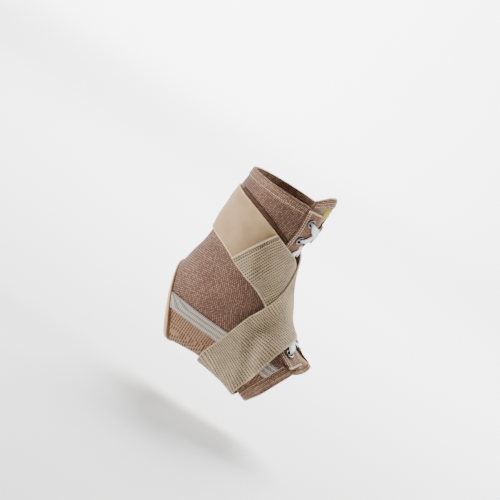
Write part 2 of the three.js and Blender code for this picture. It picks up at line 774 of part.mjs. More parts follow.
function makeTongue() {
  const grid = tongueGrid(tongueTopEdge, tongueToeEdge, 20, 8, tongueLow, TONGUE_WALL);
  return mesh("tongue", solid(sheetTriangles(grid)), TONGUE);
}

// Facing along the tongue's top edge, and a plain patch below it.
function makeTongueTrim() {
  const faced = (s, arc) => tongueLow(s, arc) + TONGUE_WALL + SEAM_GAP;
  const hemEnd = (u) => sectionAtLength(-TONGUE_RISE * (1 - 0.55 * u * u) + TONGUE_HEM_DEPTH);
  const hem = tongueGrid(tongueTopEdge, hemEnd, 2, 8, faced, HEM_WALL, 0.98);
  const labelTop = sectionAtLength(-TONGUE_RISE + TONGUE_HEM_DEPTH + 2.2);
  const labelEnd = sectionAtLength(-TONGUE_RISE + TONGUE_HEM_DEPTH + 2.2 + LABEL_HEIGHT);
  const share = LABEL_WIDTH / TONGUE_WIDTH;
  const label = tongueGrid(() => labelTop, () => labelEnd, 3, 4, faced, LABEL_WALL, share);
  return [
    mesh("tongue_hem", solid(sheetTriangles(hem)), HEM),
    mesh("tongue_label", solid(sheetTriangles(label)), LABEL),
  ];
}

// Places at even distances along a middle line given as a short table.
function evenLine(table, count) {
  const curve = new THREE.CatmullRomCurve3(
    table.map(({ s, deg }) => new THREE.Vector3(s, radians(deg), 0)),
  );
  const fine = curve.getPoints(300).map(({ x, y }) => ({ s: x, t: y, at: skin(x, y) }));
  const lengths = [0];
  for (let i = 1; i < fine.length; i++) lengths.push(lengths[i - 1] + fine[i].at.distanceTo(fine[i - 1].at));
  const total = lengths[lengths.length - 1];
  return Array.from({ length: count + 1 }, (_, k) => {
    const target = total * k / count;
    let i = 1;
    while (i < fine.length - 1 && lengths[i] < target) i++;
    const f = (target - lengths[i - 1]) / (lengths[i] - lengths[i - 1]);
    return blendPlace(fine[i - 1], fine[i], f);
  });
}

// Walks straight across the form and tells where the walk ends.
function walk(place, heading, length) {
  const steps = 3;
  let { s, t } = place;
  for (let i = 0; i < steps; i++) {
    const { alongS, alongT } = partials(s, t);
    const ss = alongS.dot(alongS);
    const st = alongS.dot(alongT);
    const tt = alongT.dot(alongT);
    const stride = length / steps;
    const hs = heading.dot(alongS) * stride;
    const ht = heading.dot(alongT) * stride;
    const scale = ss * tt - st * st;
    s += (hs * tt - ht * st) / scale;
    t += (ht * ss - hs * st) / scale;
    const normal = outward(s, t);
    heading.addScaledVector(normal, -heading.dot(normal)).normalize();
  }
  return { s, t };
}

// Places of a flat band: stations along its middle line, columns across it.
function stripPlaces(line, width, columns, shift = 0) {
  return line.map((place, i) => {
    const before = line[Math.max(i - 1, 0)];
    const after = line[Math.min(i + 1, line.length - 1)];
    const along = skin(after.s, after.t).sub(skin(before.s, before.t));
    const across = along.cross(outward(place.s, place.t)).normalize();
    return Array.from({ length: columns + 1 }, (_, j) => {
      const reach = shift + width * (j / columns - 0.5);
      const heading = across.clone().multiplyScalar(Math.sign(reach) || 1);
      return walk(place, heading, Math.abs(reach));
    });
  });
}

function stripGrid(places, low, wall) {
  return places.map((row) => row.map(({ s, t }) => layer(s, t, low(s, t), wall)));
}

const bandLine = evenLine(BAND_LINE, 36);
const upperStrapLine = evenLine(LATERAL_STRAP_LINE, 48);
const lowerStrapLine = evenLine(MEDIAL_STRAP_LINE, 48);

// Same columns, each cut where it meets the plackets and divided evenly.
function betweenPlackets(places, count) {
  const clear = ({ s, t }) => Math.abs(arcFromFront(s, t)) - placketBack(s) - LAYER_GAP;
  const columns = places[0].map((_, j) => {
    const column = places.map((row) => row[j]);
    const first = crossing(column.map(clear));
    const last = column.length - 1 - crossing(column.map(clear).reverse());
    return Array.from({ length: count + 1 }, (_, k) => placeOn(column, first + (last - first) * k / count));
  });
  return columns[0].map((_, k) => columns.map((column) => column[k]));
}

// Broken index at which values rise through zero.
function crossing(values) {
  const i = values.findIndex((value) => value > 0);
  return i === 0 ? 0 : i - values[i] / (values[i] - values[i - 1]);
}

function placeOn(column, index) {
  const i = Math.min(Math.floor(index), column.length - 2);
  return blendPlace(column[i], column[i + 1], index - i);
}

// Smooth band behind the ankle, sewn to the plackets at both ends.
function makeBackBand() {
  const places = betweenPlackets(stripPlaces(bandLine, BAND_WIDTH, 4), 28);
  const grid = stripGrid(places, () => KNIT_WALL + LAYER_GAP, BAND_WALL);
  return mesh("back_band", solid(sheetTriangles(grid)), VELOUR);
}

// Dark tape beside the band's upper edge, on each side of the leg.
function makeBandEdges() {
  const side = bandLine.slice(0, 16);
  const shift = (BAND_WIDTH + BAND_EDGE_WIDTH) / 2 + SEAM_GAP;
  const places = betweenPlackets(stripPlaces(side, BAND_EDGE_WIDTH, 1, upperSide() * shift), 12);
  const grid = stripGrid(places, () => KNIT_WALL + LAYER_GAP, HEM_WALL);
  return pair("band_edge", sheetTriangles(grid), TAPE);
}

// Sign of the walk that leads to the band's upper edge.
function upperSide() {
  const [low, high] = stripPlaces(bandLine.slice(0, 2), BAND_WIDTH, 1)[0];
  return skin(high.s, high.t).z > skin(low.s, low.t).z ? 1 : -1;
}

function distanceToLine(point, line) {
  return Math.min(...line.map(({ s, t }) => skin(s, t).distanceTo(point)));
}

// Height of the layers that a strap lies on at a place of the form.
function bedHeight(s, t) {
  const point = skin(s, t);
  const arc = Math.abs(arcFromFront(s, t));
  const seam = overSeam(point);
  const outsideSelvedge = Math.max(seam, -SELVEDGE_WIDTH - seam, 0);
  const outsideBand = distanceToLine(point, bandLine) - BAND_WIDTH / 2 - 1;
  const outsidePlacket = arc - placketBack(s) - 1;
  const outsideLacing = arc - halfGap(s) - EYELET_INSET - EYELET_RADIUS - 1;
  const layers = [
    { top: SELVEDGE_WALL, outside: outsideSelvedge },
    { top: BAND_WALL, outside: outsideBand },
    { top: PLACKET_WALL, outside: outsidePlacket },
    { top: LACE_OVER + LACE_THICKNESS / 2 - KNIT_WALL - LAYER_GAP, outside: outsideLacing },
  ];
  const fade = 13;
  const rises = layers.map(({ top, outside }) => (top + LAYER_GAP) * nearness(outside, fade));
  return KNIT_WALL + Math.max(STRAP_EASE, ...rises);
}

// Elastic straps, each from the sole over the instep to the band. The one
// that starts at the lateral sole lies over the other where they cross.
function makeStraps() {
  const fade = 18;
  const onBed = (s, t) => bedHeight(s, t) + LAYER_GAP;
  const onTop = (s, t) => {
    const outside = distanceToLine(skin(s, t), lowerStrapLine) - STRAP_WIDTH / 2 - 5;
    return onBed(s, t) + (STRAP_WALL + CROSSING_GAP) * nearness(outside, fade);
  };
  const upper = stripGrid(stripPlaces(upperStrapLine, STRAP_WIDTH, 5), onTop, STRAP_WALL);
  const lower = stripGrid(stripPlaces(lowerStrapLine, STRAP_WIDTH, 5), onBed, STRAP_WALL);
  return [
    mesh("strap_from_lateral_sole", solid(sheetTriangles(upper)), ELASTIC),
    mesh("strap_from_medial_sole", solid(sheetTriangles(lower)), ELASTIC),
  ];
}

// Between geometries and solids that can be joined and cut.
function toManifold(geometry) {
  const bare = geometry.clone();
  bare.deleteAttribute("normal");
  bare.deleteAttribute("uv");
  const merged = mergeVertices(bare, 1e-4);
  return new wasm.Manifold(new wasm.Mesh({
    numProp: 3,
    vertProperties: new Float32Array(merged.attributes.position.array),
    triVerts: new Uint32Array(merged.index.array),
  }));
}

function fromManifold(body) {
  const { numProp, vertProperties, triVerts } = body.getMesh();
  const positions = [];
  for (let i = 0; i < vertProperties.length; i += numProp) {
    positions.push(vertProperties[i], vertProperties[i + 1], vertProperties[i + 2]);
  }
  const geometry = new THREE.BufferGeometry();
  geometry.setAttribute("position", new THREE.Float32BufferAttribute(positions, 3));
  geometry.setIndex([...triVerts]);
  return geometry;
}

const eyelets = eyeletPlaces();
const brace = new THREE.Group();
brace.name = "ankle_brace";
brace.add(
  makeSleeve(),
  makeArchBand(),
  ...makeSelvedges(),
  makeHeelBinding(),
  makeHem("top_hem", stationsBetween(0, topHemShare(), 0.3)),
  makeHem("foot_hem", stationsBetween(LAST - footHemShare(), LAST, 0.2)),
  ...makePlackets(eyelets),
  makeTongue(),
  ...makeTongueTrim(),
  makeBackBand(),
  ...makeBandEdges(),
  ...makeStraps(),
  makeLace("lace_first", lacePath(eyelets, 0, true)),
  makeLace("lace_second", lacePath(eyelets, 1, false)),
  ...makeEyelets(eyelets),
);

export default brace;
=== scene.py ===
# %% [markdown]
# # A lace-up ankle brace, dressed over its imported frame
# The brace is a knitted sleeve with a ribbed arch band, a laced front over a
# tongue, a smooth band round the back and two elastic straps that cross over
# the lacing. The frame holds the plain solids. Here each one is replaced by a
# cloth piece that lies on the same form, so nothing has to be fitted by eye.

# %% Load the frame
import math
import bpy
import bmesh
import numpy as np
from mathutils import Matrix, Vector


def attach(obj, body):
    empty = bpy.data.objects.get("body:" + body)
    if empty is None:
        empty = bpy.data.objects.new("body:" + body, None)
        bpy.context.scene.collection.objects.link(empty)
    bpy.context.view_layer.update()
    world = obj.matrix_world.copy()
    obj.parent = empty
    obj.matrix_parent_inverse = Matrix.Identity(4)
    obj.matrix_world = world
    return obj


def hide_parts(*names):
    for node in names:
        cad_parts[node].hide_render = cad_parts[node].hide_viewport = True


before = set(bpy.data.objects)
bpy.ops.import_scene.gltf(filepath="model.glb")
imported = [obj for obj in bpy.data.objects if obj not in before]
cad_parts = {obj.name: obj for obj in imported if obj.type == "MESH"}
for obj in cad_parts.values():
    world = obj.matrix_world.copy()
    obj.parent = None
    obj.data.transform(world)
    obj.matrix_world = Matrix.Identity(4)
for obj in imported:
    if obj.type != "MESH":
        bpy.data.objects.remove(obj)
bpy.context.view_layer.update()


def into_scene(name, data):
    """Makes an object of a mesh, a lamp or a camera and puts it into the scene."""
    thing = bpy.data.objects.new(name, data)
    bpy.context.scene.collection.objects.link(thing)
    return thing


def smooth_object(name, bm, finish):
    """Makes a smooth object of a bmesh, in one finish."""
    for face in bm.faces:
        face.smooth = True
    mesh = bpy.data.meshes.new(name)
    bm.to_mesh(mesh)
    bm.free()
    mesh.materials.append(finish)
    return into_scene(name, mesh)


# %% [markdown]
# ## Camera and room
# The photograph looks at the outer side of the brace, and the brace is tilted
# there. It stands upright in its own frame, so the camera is turned about its
# line of sight instead. A long lens keeps the perspective as weak as it is in
# the picture.

# %% Camera at the photograph's angle
AIM = Vector((-0.0067, 0.0, 0.030))
AZIMUTH, ELEVATION, ROLL = math.radians(12), math.radians(9), math.radians(31)
CAMERA_DISTANCE, LENS_MM, SENSOR_MM = 1.8, 133.6, 36

towards = Vector((math.sin(AZIMUTH) * math.cos(ELEVATION), -math.cos(AZIMUTH) * math.cos(ELEVATION),
                  math.sin(ELEVATION)))
level = Vector((math.cos(AZIMUTH), math.sin(AZIMUTH), 0))
upward = towards.cross(level)
right = level * math.cos(ROLL) + upward * math.sin(ROLL)
above = upward * math.cos(ROLL) - level * math.sin(ROLL)

camera_data = bpy.data.cameras.new("camera")
camera_data.lens, camera_data.sensor_width, camera_data.clip_end = LENS_MM, SENSOR_MM, 60
camera = into_scene("camera", camera_data)
turned = Matrix((right, above, towards)).transposed().to_4x4()
camera.matrix_world = Matrix.Translation(AIM + towards * CAMERA_DISTANCE) @ turned
bpy.context.scene.camera = camera
print("camera at", [round(x, 3) for x in camera.matrix_world.translation])

# %% [markdown]
# The floor is a pale sweep that rises all round the brace, so no horizon shows
# from any side. It is a half profile, a floor, a bend and a wall, that is spun
# about the upright axis.

# %% Pale sweep
FLOOR_Z = -0.135
SWEEP_RADIUS, SWEEP_BEND, SWEEP_WALL = 3.0, 1.5, 3.5


def spin_profile(profile, steps, closed, merge):
    """Spins a half profile of radius and height about the upright axis."""
    bm = bmesh.new()
    verts = [bm.verts.new((x, 0, z)) for x, z in profile]
    edges = [bm.edges.new(pair) for pair in zip(verts, verts[1:] + (verts[:1] if closed else []))]
    bmesh.ops.spin(bm, geom=verts + edges, cent=(0, 0, 0), axis=(0, 0, 1), steps=steps,
                   angle=2 * math.pi, use_merge=True)
    bmesh.ops.remove_doubles(bm, verts=bm.verts, dist=merge)
    return bm


paper = bpy.data.materials.new("pale_paper")
paper.use_nodes = True
paper_shader = paper.node_tree.nodes["Principled BSDF"]
paper_shader.inputs["Base Color"].default_value = (0.86, 0.86, 0.86, 1)
paper_shader.inputs["Roughness"].default_value = 0.9

bend = [(SWEEP_RADIUS + SWEEP_BEND * math.sin(a), SWEEP_BEND * (1 - math.cos(a)))
        for a in map(math.radians, range(0, 91, 10))]
sweep_profile = [(0.0, 0.0), *bend, (SWEEP_RADIUS + SWEEP_BEND, SWEEP_WALL)]
sweep = spin_profile([(x, FLOOR_Z + z) for x, z in sweep_profile], 64, False, 0.0001)
if sum(face.normal.z for face in sweep.faces if abs(face.normal.z) > 0.9) < 0:
    bmesh.ops.reverse_faces(sweep, faces=sweep.faces)
smooth_object("floor_sweep", sweep, paper)

# %% [markdown]
# The light in the picture is soft. It comes from the heel side and a little
# from above, so the middle of the brace turns into shade. One panel gives that, a
# weaker one lights the front edge, and two more make the sweep pale behind the
# brace. A pale surround keeps the shade open.

# %% Soft studio light
def beside_aim(across, up, near_camera):
    return AIM + right * across + above * up + towards * near_camera


def panel(name, offset, size, power, aim=AIM):
    """A round soft light, placed to the right, above and towards the camera."""
    data = bpy.data.lights.new(name, "AREA")
    data.shape, data.size, data.energy = "DISK", size, power
    lamp = into_scene(name, data)
    lamp.location = beside_aim(*offset)
    lamp.rotation_euler = (lamp.location - aim).to_track_quat("Z", "Y").to_euler()


panel("key_panel", (-1.6, 1.2, 0.1), 0.5, 76)
panel("rim_panel", (1.7, -0.1, -0.1), 0.6, 24)
panel("backdrop_panel", (0.85, 1.29, -0.98), 1.2, 150, Vector((-0.2, 1.1, FLOOR_Z)))
panel("wall_panel", (0.6, 2.0, -2.6), 1.6, 260, beside_aim(0.6, 0.9, -4.6))
world = bpy.data.worlds.new("pale_surround")
world.use_nodes = True
surround = world.node_tree.nodes["Background"]
surround.inputs["Color"].default_value = (1, 1, 1, 1)
surround.inputs["Strength"].default_value = 0.1
bpy.context.scene.world = world

# %% [markdown]
# ## The form
# The brace follows one hollow form, a fan of sections from the rim to the foot
# hem. Each row of the table has the front and back point of a section, its
# half width, how much wider it is in front, and how square it is in front and
# at the back. A place on the form is a section number s and an angle t round
# it, 0 in front and negative on the outer side. Lengths are millimetres.

# %% Sections of the form
SECTIONS = np.array([
    # front x, front z, back x, back z, half, taper, square front and back
    [40.0, 99.0, -42.25, 101.0, 33.58, 0.04, 0.00, 0.00],
    [37.2, 75.0, -44.85, 80.0, 32.485, 0.06, 0.00, 0.00],
    [31.6, 51.0, -47.45, 52.0, 31.39, 0.10, 0.00, 0.00],
    [34.8, 31.0, -47.45, 24.0, 32.485, 0.14, 0.00, 0.00],
    [41.6, 14.0, -52.65, 0.0, 35.04, 0.14, 0.00, 0.02],
    [49.0, 2.0, -59.8, -28.05, 36.5, 0.08, 0.00, 0.03],
    [54.88, -8.5, -65.0, -57.8, 35.04, 0.00, 0.00, 0.05],
    [61.74, -16.15, -39.65, -81.6, 32.85, -0.06, 0.00, 0.08],
    [70.56, -22.95, 4.9, -79.9, 32.485, -0.10, 0.01, 0.10],
    [83.3, -28.9, 42.14, -83.3, 33.945, -0.12, 0.02, 0.11],
    [98.0, -34.85, 70.56, -89.25, 36.135, -0.12, 0.03, 0.11],
])
LAST = len(SECTIONS) - 1


# One more row past each end, straight on, so that the ends run out without a bend.
ROWS = np.concatenate([2 * SECTIONS[:1] - SECTIONS[1:2], SECTIONS, 2 * SECTIONS[-1:] - SECTIONS[-2:-1]])


def spline(a, b, c, d, f):
    """Place at share f of the way from b to c on a smooth line through all four."""
    return 0.5 * (2 * b + (c - a) * f + (2 * a - 5 * b + 4 * c - d) * f ** 2 + (3 * b - a - 3 * c + d) * f ** 3)


def rows_at(s):
    """Row of the table at any s, smooth between the sections and straight past both ends."""
    i = np.clip(np.floor(s), 0, LAST - 1).astype(int)
    f = (s - i)[:, None]
    rows = spline(ROWS[i], ROWS[i + 1], ROWS[i + 2], ROWS[i + 3], np.clip(f, 0, 1))
    return rows + (f - np.clip(f, 0, 1)) * (ROWS[i + 2] - ROWS[i + 1])


def surface(s, t):
    """Point of the form at section s and angle t."""
    s, t = np.broadcast_arrays(np.asarray(s, float), np.asarray(t, float))
    shape = s.shape
    row = rows_at(s.ravel()).T
    t = t.ravel()
    square = row[6] + (row[7] - row[6]) * (1 - np.cos(t)) / 2
    along = (np.cos(t) - square * np.cos(3 * t)) / (1 - square)
    side = (np.sin(t) + square * np.sin(3 * t)) / (1 - square)
    x = (row[0] + row[2]) / 2 + along * (row[0] - row[2]) / 2
    z = (row[1] + row[3]) / 2 + along * (row[1] - row[3]) / 2
    return np.stack([x, row[4] * side * (1 + row[5] * np.cos(t)), z], -1).reshape(*shape, 3)


def partials(s, t):
    """How fast the surface runs along with s and round with t."""
    step = 0.01
    return ((surface(s + step, t) - surface(s - step, t)) / (2 * step),
            (surface(s, t + step) - surface(s, t - step)) / (2 * step))


def unit(v):
    return v / np.linalg.norm(v, axis=-1, keepdims=True)


def outward(s, t):
    return unit(np.cross(*partials(s, t)))


def lifted(s, t, height):
    return surface(s, t) + outward(s, t) * np.asarray(height, float)[..., None]


middle = surface(np.array([3.0]), np.array([-1.57]))[0]
print("middle of the outer side at", middle.round(1), "mm")

# %% [markdown]
# Cloth is cut by length, not by angle, so two helpers turn one into the
# other: round a section, and down the front line from the rim.

# %% Lengths on the form
MEAN_RADIUS = 36.5


def running_length(points):
    """Length along a line of points, from 0 at the first one."""
    return np.concatenate([[0], np.linalg.norm(np.diff(points, axis=0), axis=1).cumsum()])


def arc_from_front(s, t):
    s, t = np.broadcast_arrays(np.asarray(s, float), np.asarray(t, float))
    angle = t - np.round(t / (2 * np.pi)) * 2 * np.pi
    shares = np.linspace(0, 1, 17)
    points = surface(s[..., None], angle[..., None] * shares)
    return np.sign(angle) * np.linalg.norm(np.diff(points, axis=-2), axis=-1).sum(-1)


def angle_at_arc(s, arc):
    s, arc = np.broadcast_arrays(np.asarray(s, float), np.asarray(arc, float))
    t = arc / MEAN_RADIUS
    for _ in range(5):
        t = t + (arc - arc_from_front(s, t)) / np.linalg.norm(partials(s, t)[1], axis=-1)
    return t


front_s = np.arange(-2, 12.001, 0.02)
front_length = running_length(surface(front_s, 0 * front_s))
front_length -= np.interp(0, front_s, front_length)


def section_at_length(length):
    return np.interp(length, front_length, front_s)


def length_at_section(s):
    return np.interp(s, front_s, front_length)


def near(distance, fade):
    """1 at no distance, easing to 0 over the fade."""
    f = np.clip(1 - distance / fade, 0, 1)
    return f * f * (3 - 2 * f)


RIM, HEM = 0.0, float(LAST)
SIDES = (("lateral", -1), ("medial", 1))
LACED_LENGTH = float(length_at_section(HEM))
print("front line from rim to foot hem:", round(LACED_LENGTH, 1), "mm")

# %% [markdown]
# ## From a flat grid to worn cloth
# Every cloth piece starts as a flat grid. Each of its points has two shares,
# across and along, and a rule for the piece says where these shares lie on
# the form and how high. The rule also gives the weave its millimetres, which
# become the UV map. A Solidify modifier then gives the cloth its wall.

# %% Grid laid on the form
def settle(name, bm, finish, node=None, wall=None, edge=0.0):
    """Makes a piece of a bmesh whose points are in millimetres."""
    bmesh.ops.scale(bm, vec=(0.001, 0.001, 0.001), verts=bm.verts)
    piece = smooth_object(name, bm, finish)
    if wall:
        shell = piece.modifiers.new("wall", "SOLIDIFY")
        shell.thickness, shell.offset, shell.use_even_offset = wall / 1000, -1, True
    if edge:
        round_edge = piece.modifiers.new("rounded_edge", "BEVEL")
        round_edge.width, round_edge.segments = edge / 1000, 2
        round_edge.limit_method, round_edge.angle_limit = "ANGLE", math.radians(50)
    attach(piece, "root")
    if node:
        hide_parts(node)
    return piece


def grid_shares(across, along):
    bm = bmesh.new()
    bmesh.ops.create_grid(bm, x_segments=across, y_segments=along, size=0.5)
    flat = np.array([v.co for v in bm.verts])
    return bm, flat[:, 0] + 0.5, flat[:, 1] + 0.5


def place_points(bm, points, weave):
    """Moves the points and writes the weave's millimetres as the UV map."""
    for vert, point in zip(bm.verts, points):
        vert.co = point
    layer = bm.loops.layers.uv.new("weave")
    for face in bm.faces:
        for loop in face.loops:
            loop[layer].uv = weave[loop.vert.index]


def face_out(bm):
    """Turns an open sheet's faces away from the form's middle line."""
    bm.faces.ensure_lookup_table()
    sample = bm.faces[len(bm.faces) // 3]
    sample.normal_update()
    centre = sample.calc_center_median()
    core = Vector((0, 0, centre.z)) if centre.z > 0 else Vector((centre.x - 10, 0, -45))
    if sample.normal.dot(centre - core) < 0:
        bmesh.ops.reverse_faces(bm, faces=bm.faces)


def worn_cloth(name, across, along, rule, finish, node=None, wall=1.5, edge=0.35, mirror=False, cut=None):
    bm, u, v = grid_shares(across, along)
    s, t, height, weave = rule(u, v)
    place_points(bm, lifted(s, t, height), weave)
    if cut:
        cut(bm)
    face_out(bm)
    if mirror:
        bmesh.ops.mirror(bm, geom=bm.verts[:] + bm.edges[:] + bm.faces[:], axis="Y", merge_dist=0.02)
        bmesh.ops.recalc_face_normals(bm, faces=bm.faces)
        face_out(bm)
    return settle(name, bm, finish, node, wall, edge)


# %% [markdown]
# ## Finishes
# Each cloth has its own weave. The patterns read the UV map, which is in
# millimetres, so a rib keeps its pitch wherever the piece bends. Broad colour
# changes read Object coordinates instead, because they belong to the place on
# the brace and not to the thread.

# %% Helpers for wiring a finish
class Finish:
    def __init__(self, name, roughness=0.9, metallic=0.0, sheen=0.0):
        self.material = bpy.data.materials.new(name)
        self.material.use_nodes = True
        self.tree = self.material.node_tree
        self.shader = self.tree.nodes["Principled BSDF"]
        self.shader.inputs["Roughness"].default_value = roughness
        self.shader.inputs["Metallic"].default_value = metallic
        self.shader.inputs["Sheen Weight"].default_value = sheen
        self.shader.inputs["Specular IOR Level"].default_value = 0.25
        self.weave = self.add("ShaderNodeUVMap").outputs["UV"]
        self.place = self.add("ShaderNodeTexCoord").outputs["Object"]

    def add(self, kind, settings=(), **inputs):
        node = self.tree.nodes.new(kind)
        for key, value in dict(settings).items():
            setattr(node, key, value)
        for key, value in inputs.items():
            socket = node.inputs[int(key[1:]) if key[1:].isdigit() else key.replace("_", " ")]
            if isinstance(value, bpy.types.NodeSocket):
                self.tree.links.new(value, socket)
            else:
                socket.default_value = value
        return node

    def stripes(self, axis, pitch, wobble=0.0):
        wave = self.add("ShaderNodeTexWave", {"bands_direction": axis}, Vector=self.weave,
                        Scale=math.pi / 10 / pitch, Distortion=wobble, Detail=1.0)
        return wave.outputs["Fac"]

    def noise(self, size, detail=2.0, on_cloth=True):
        vector, scale = (self.weave, 1 / size) if on_cloth else (self.place, 1000 / size)
        return self.add("ShaderNodeTexNoise", Vector=vector, Scale=scale, Detail=detail).outputs["Fac"]

    def maths(self, operation, a, b=0.0):
        return self.add("ShaderNodeMath", {"operation": operation}, _0=a, _1=b).outputs[0]

    def across(self, middle=0.0):
        """Millimetres across the cloth, counted both ways from its middle."""
        side = self.add("ShaderNodeSeparateXYZ", Vector=self.weave).outputs["X"]
        return self.maths("ABSOLUTE", self.maths("SUBTRACT", side, middle))

    def between(self, fac, low, high):
        spread = self.add("ShaderNodeMapRange", Value=fac, From_Min=low, From_Max=high)
        return spread.outputs["Result"]

    def mix(self, fac, a, b):
        node = self.add("ShaderNodeMix", {"data_type": "RGBA"}, _0=fac, _6=a, _7=b)
        return node.outputs[2]

    def relief(self, height, depth):
        bump = self.add("ShaderNodeBump", Height=height, Distance=depth / 1000, Strength=1.0)
        self.tree.links.new(bump.outputs["Normal"], self.shader.inputs["Normal"])

    def colour(self, socket):
        self.tree.links.new(socket, self.shader.inputs["Base Color"])


def paint(red, green, blue):
    """A colour picked on a screen, as the light values that a shader takes."""
    def light(c):
        c = c / 255
        return c / 12.92 if c <= 0.04045 else ((c + 0.055) / 1.055) ** 2.4
    return (light(red), light(green), light(blue), 1.0)


# %% [markdown]
# The knit of the sleeve is a brown melange. Fine wales cross fine courses,
# and single light threads come up here and there.

# %% Melange knit
def melange_knit(name, dark, base, light, wale, course):
    knit = Finish(name, roughness=0.95, sheen=0.12)
    threads = knit.maths("MULTIPLY", knit.stripes("X", wale, 0.9), knit.stripes("Y", course, 0.9))
    flecks = knit.between(knit.noise(1.9, 3.0), 0.42, 0.6)
    cloud = knit.between(knit.noise(24, 3.0, on_cloth=False), 0.35, 0.68)
    ground = knit.mix(knit.maths("MULTIPLY", cloud, 0.75), base, knit.mix(0.5, dark, base))
    yarn = knit.mix(knit.maths("MULTIPLY", cloud, 0.45), light, base)
    speckled = knit.mix(knit.maths("MULTIPLY", flecks, 0.85), ground, yarn)
    knit.colour(knit.mix(knit.between(threads, 0.03, 0.42), knit.mix(0.35, dark, ground), speckled))
    knit.relief(knit.maths("ADD", threads, knit.maths("MULTIPLY", flecks, 0.5)), 0.45)
    return knit.material


sleeve_knit, hem_knit, placket_knit, tongue_knit = (
    melange_knit(name, paint(*dark), paint(*base), paint(*light), wale, course)
    for name, dark, base, light, wale, course in (
        ("sleeve_knit", (58, 38, 30), (118, 84, 68), (180, 146, 122), 1.9, 1.7),
        ("hem_knit", (62, 40, 28), (124, 90, 70), (198, 160, 128), 1.8, 2.2),
        ("placket_knit", (70, 46, 32), (120, 86, 64), (166, 130, 100), 1.5, 1.5),
        ("tongue_knit", (96, 70, 48), (148, 114, 82), (186, 154, 118), 1.6, 1.6)))

# %% [markdown]
# Ribbed cloths have a clear rib with a darker groove. On the arch band the
# ribs run up and down, on the straps they run across the width, and the thread
# inside each rib shows as short slanted stitches.

# %% Ribbed cloths
ELASTIC_WIDTH, RIB_PITCH = 49, 2.2


def ribbed(name, dark, base, light, pitch, thread, depth, width=None):
    """A width gives the cloth light edges."""
    rib = Finish(name, roughness=0.9, sheen=0.08)
    ridge = rib.stripes("Y", pitch, 0.25)
    stitch = rib.stripes("X", thread, 0.5)
    fuzz = rib.noise(1.6, 2.0)
    cloud = rib.between(rib.noise(18, 2.0, on_cloth=False), 0.35, 0.7)
    body = rib.mix(cloud, base, light)
    threads = rib.maths("MAXIMUM", rib.between(ridge, 0.05, 0.8), rib.between(stitch, 0.35, 0.95))
    woven = rib.mix(threads, dark, rib.mix(rib.between(fuzz, 0.35, 0.7), body, light))
    if width:
        edge = rib.between(rib.across(width / 2), width / 2 - 1.5, width / 2 - 0.9)
        woven = rib.mix(edge, woven, light)
    rib.colour(woven)
    rib.relief(rib.maths("ADD", ridge, rib.maths("MULTIPLY", stitch, 0.35)), depth)
    return rib.material


arch_rib, strap_elastic, label_twill, edge_tape = (
    ribbed(name, paint(*dark), paint(*base), paint(*light), *measures)
    for name, dark, base, light, *measures in (
        ("arch_rib", (48, 30, 20), (118, 86, 62), (158, 122, 94), 2.5, 2.4, 0.6),
        ("strap_elastic", (62, 50, 38), (126, 108, 84), (176, 154, 124), RIB_PITCH, 2.0, 0.3, ELASTIC_WIDTH),
        ("label_twill", (80, 66, 54), (122, 104, 86), (158, 138, 118), 1.5, 1.2, 0.2),
        ("edge_tape", (34, 18, 10), (62, 34, 20), (84, 52, 34), 1.4, 1.2, 0.25)))

# %% [markdown]
# The band round the back is brushed smooth. It needs almost no pattern, only
# a soft sheen, a faint cloud in its colour and a very fine pile.

# %% Velour, selvedge, binding, lace and patch
def velour():
    pile = Finish("band_velour", roughness=1.0, sheen=0.2)
    cloud = pile.between(pile.noise(16, 4.0, on_cloth=False), 0.35, 0.62)
    fine = pile.noise(0.5, 2.0)
    shade = pile.mix(cloud, paint(156, 126, 90), paint(170, 140, 104))
    away = pile.across(ELASTIC_WIDTH / 2)
    cloth = pile.mix(pile.maths("MULTIPLY", fine, 0.25), shade, paint(124, 96, 64))
    pile.colour(pile.mix(pile.between(away, 22.9, 23.3), cloth, paint(206, 172, 126)))
    pile.relief(pile.maths("SUBTRACT", fine, pile.between(away, 22.9, 23.5)), 0.15)
    return pile.material


def woven_selvedge():
    strip = Finish("selvedge_weave", roughness=0.85)
    lengthwise = strip.stripes("X", 4.7, 0.1)
    cross = strip.stripes("Y", 1.6, 0.6)
    fine = strip.stripes("X", 1.2, 0.4)
    yarn = strip.mix(strip.between(lengthwise, 0.1, 0.9), paint(78, 68, 58), paint(150, 138, 124))
    loops = strip.between(strip.maths("MULTIPLY", cross, fine), 0.15, 0.7)
    strip.colour(strip.mix(loops, yarn, paint(226, 216, 202)))
    strip.relief(strip.maths("ADD", lengthwise, strip.maths("MULTIPLY", cross, 0.5)), 0.3)
    return strip.material


def rolled_binding():
    roll = Finish("heel_roll", roughness=0.8, sheen=0.2)
    cross = roll.stripes("Y", 1.1, 0.4)
    light = roll.mix(roll.maths("MULTIPLY", cross, 0.5), paint(196, 150, 104), paint(226, 184, 138))
    # The middle of the way round is the side that faces the cloth; it is coloured dark brown.
    toward_cloth = roll.between(roll.across(), 3.3, 2.4)
    roll.colour(roll.mix(toward_cloth, light, paint(96, 62, 36)))
    roll.relief(cross, 0.2)
    return roll.material


def braided_lace():
    braid = Finish("lace_braid", roughness=0.75, sheen=0.2)
    scale = math.pi / 10 / 1.3
    strands = []
    for turn in (0.8, -0.8):
        slant = braid.add("ShaderNodeMapping", Vector=braid.weave, Rotation=(0, 0, turn)).outputs[0]
        strands.append(braid.add("ShaderNodeTexWave", Vector=slant, Scale=scale).outputs["Fac"])
    plait = braid.maths("MAXIMUM", *strands)
    braid.colour(braid.mix(braid.between(plait, 0.35, 0.9), paint(186, 190, 196), paint(242, 244, 246)))
    braid.relief(plait, 0.3)
    return braid.material


def plain_patch():
    satin = Finish("plain_patch", roughness=0.6)
    weft = satin.stripes("Y", 0.8, 0.2)
    satin.colour(satin.mix(weft, paint(138, 116, 0), paint(176, 150, 0)))
    satin.relief(weft, 0.15)
    return satin.material


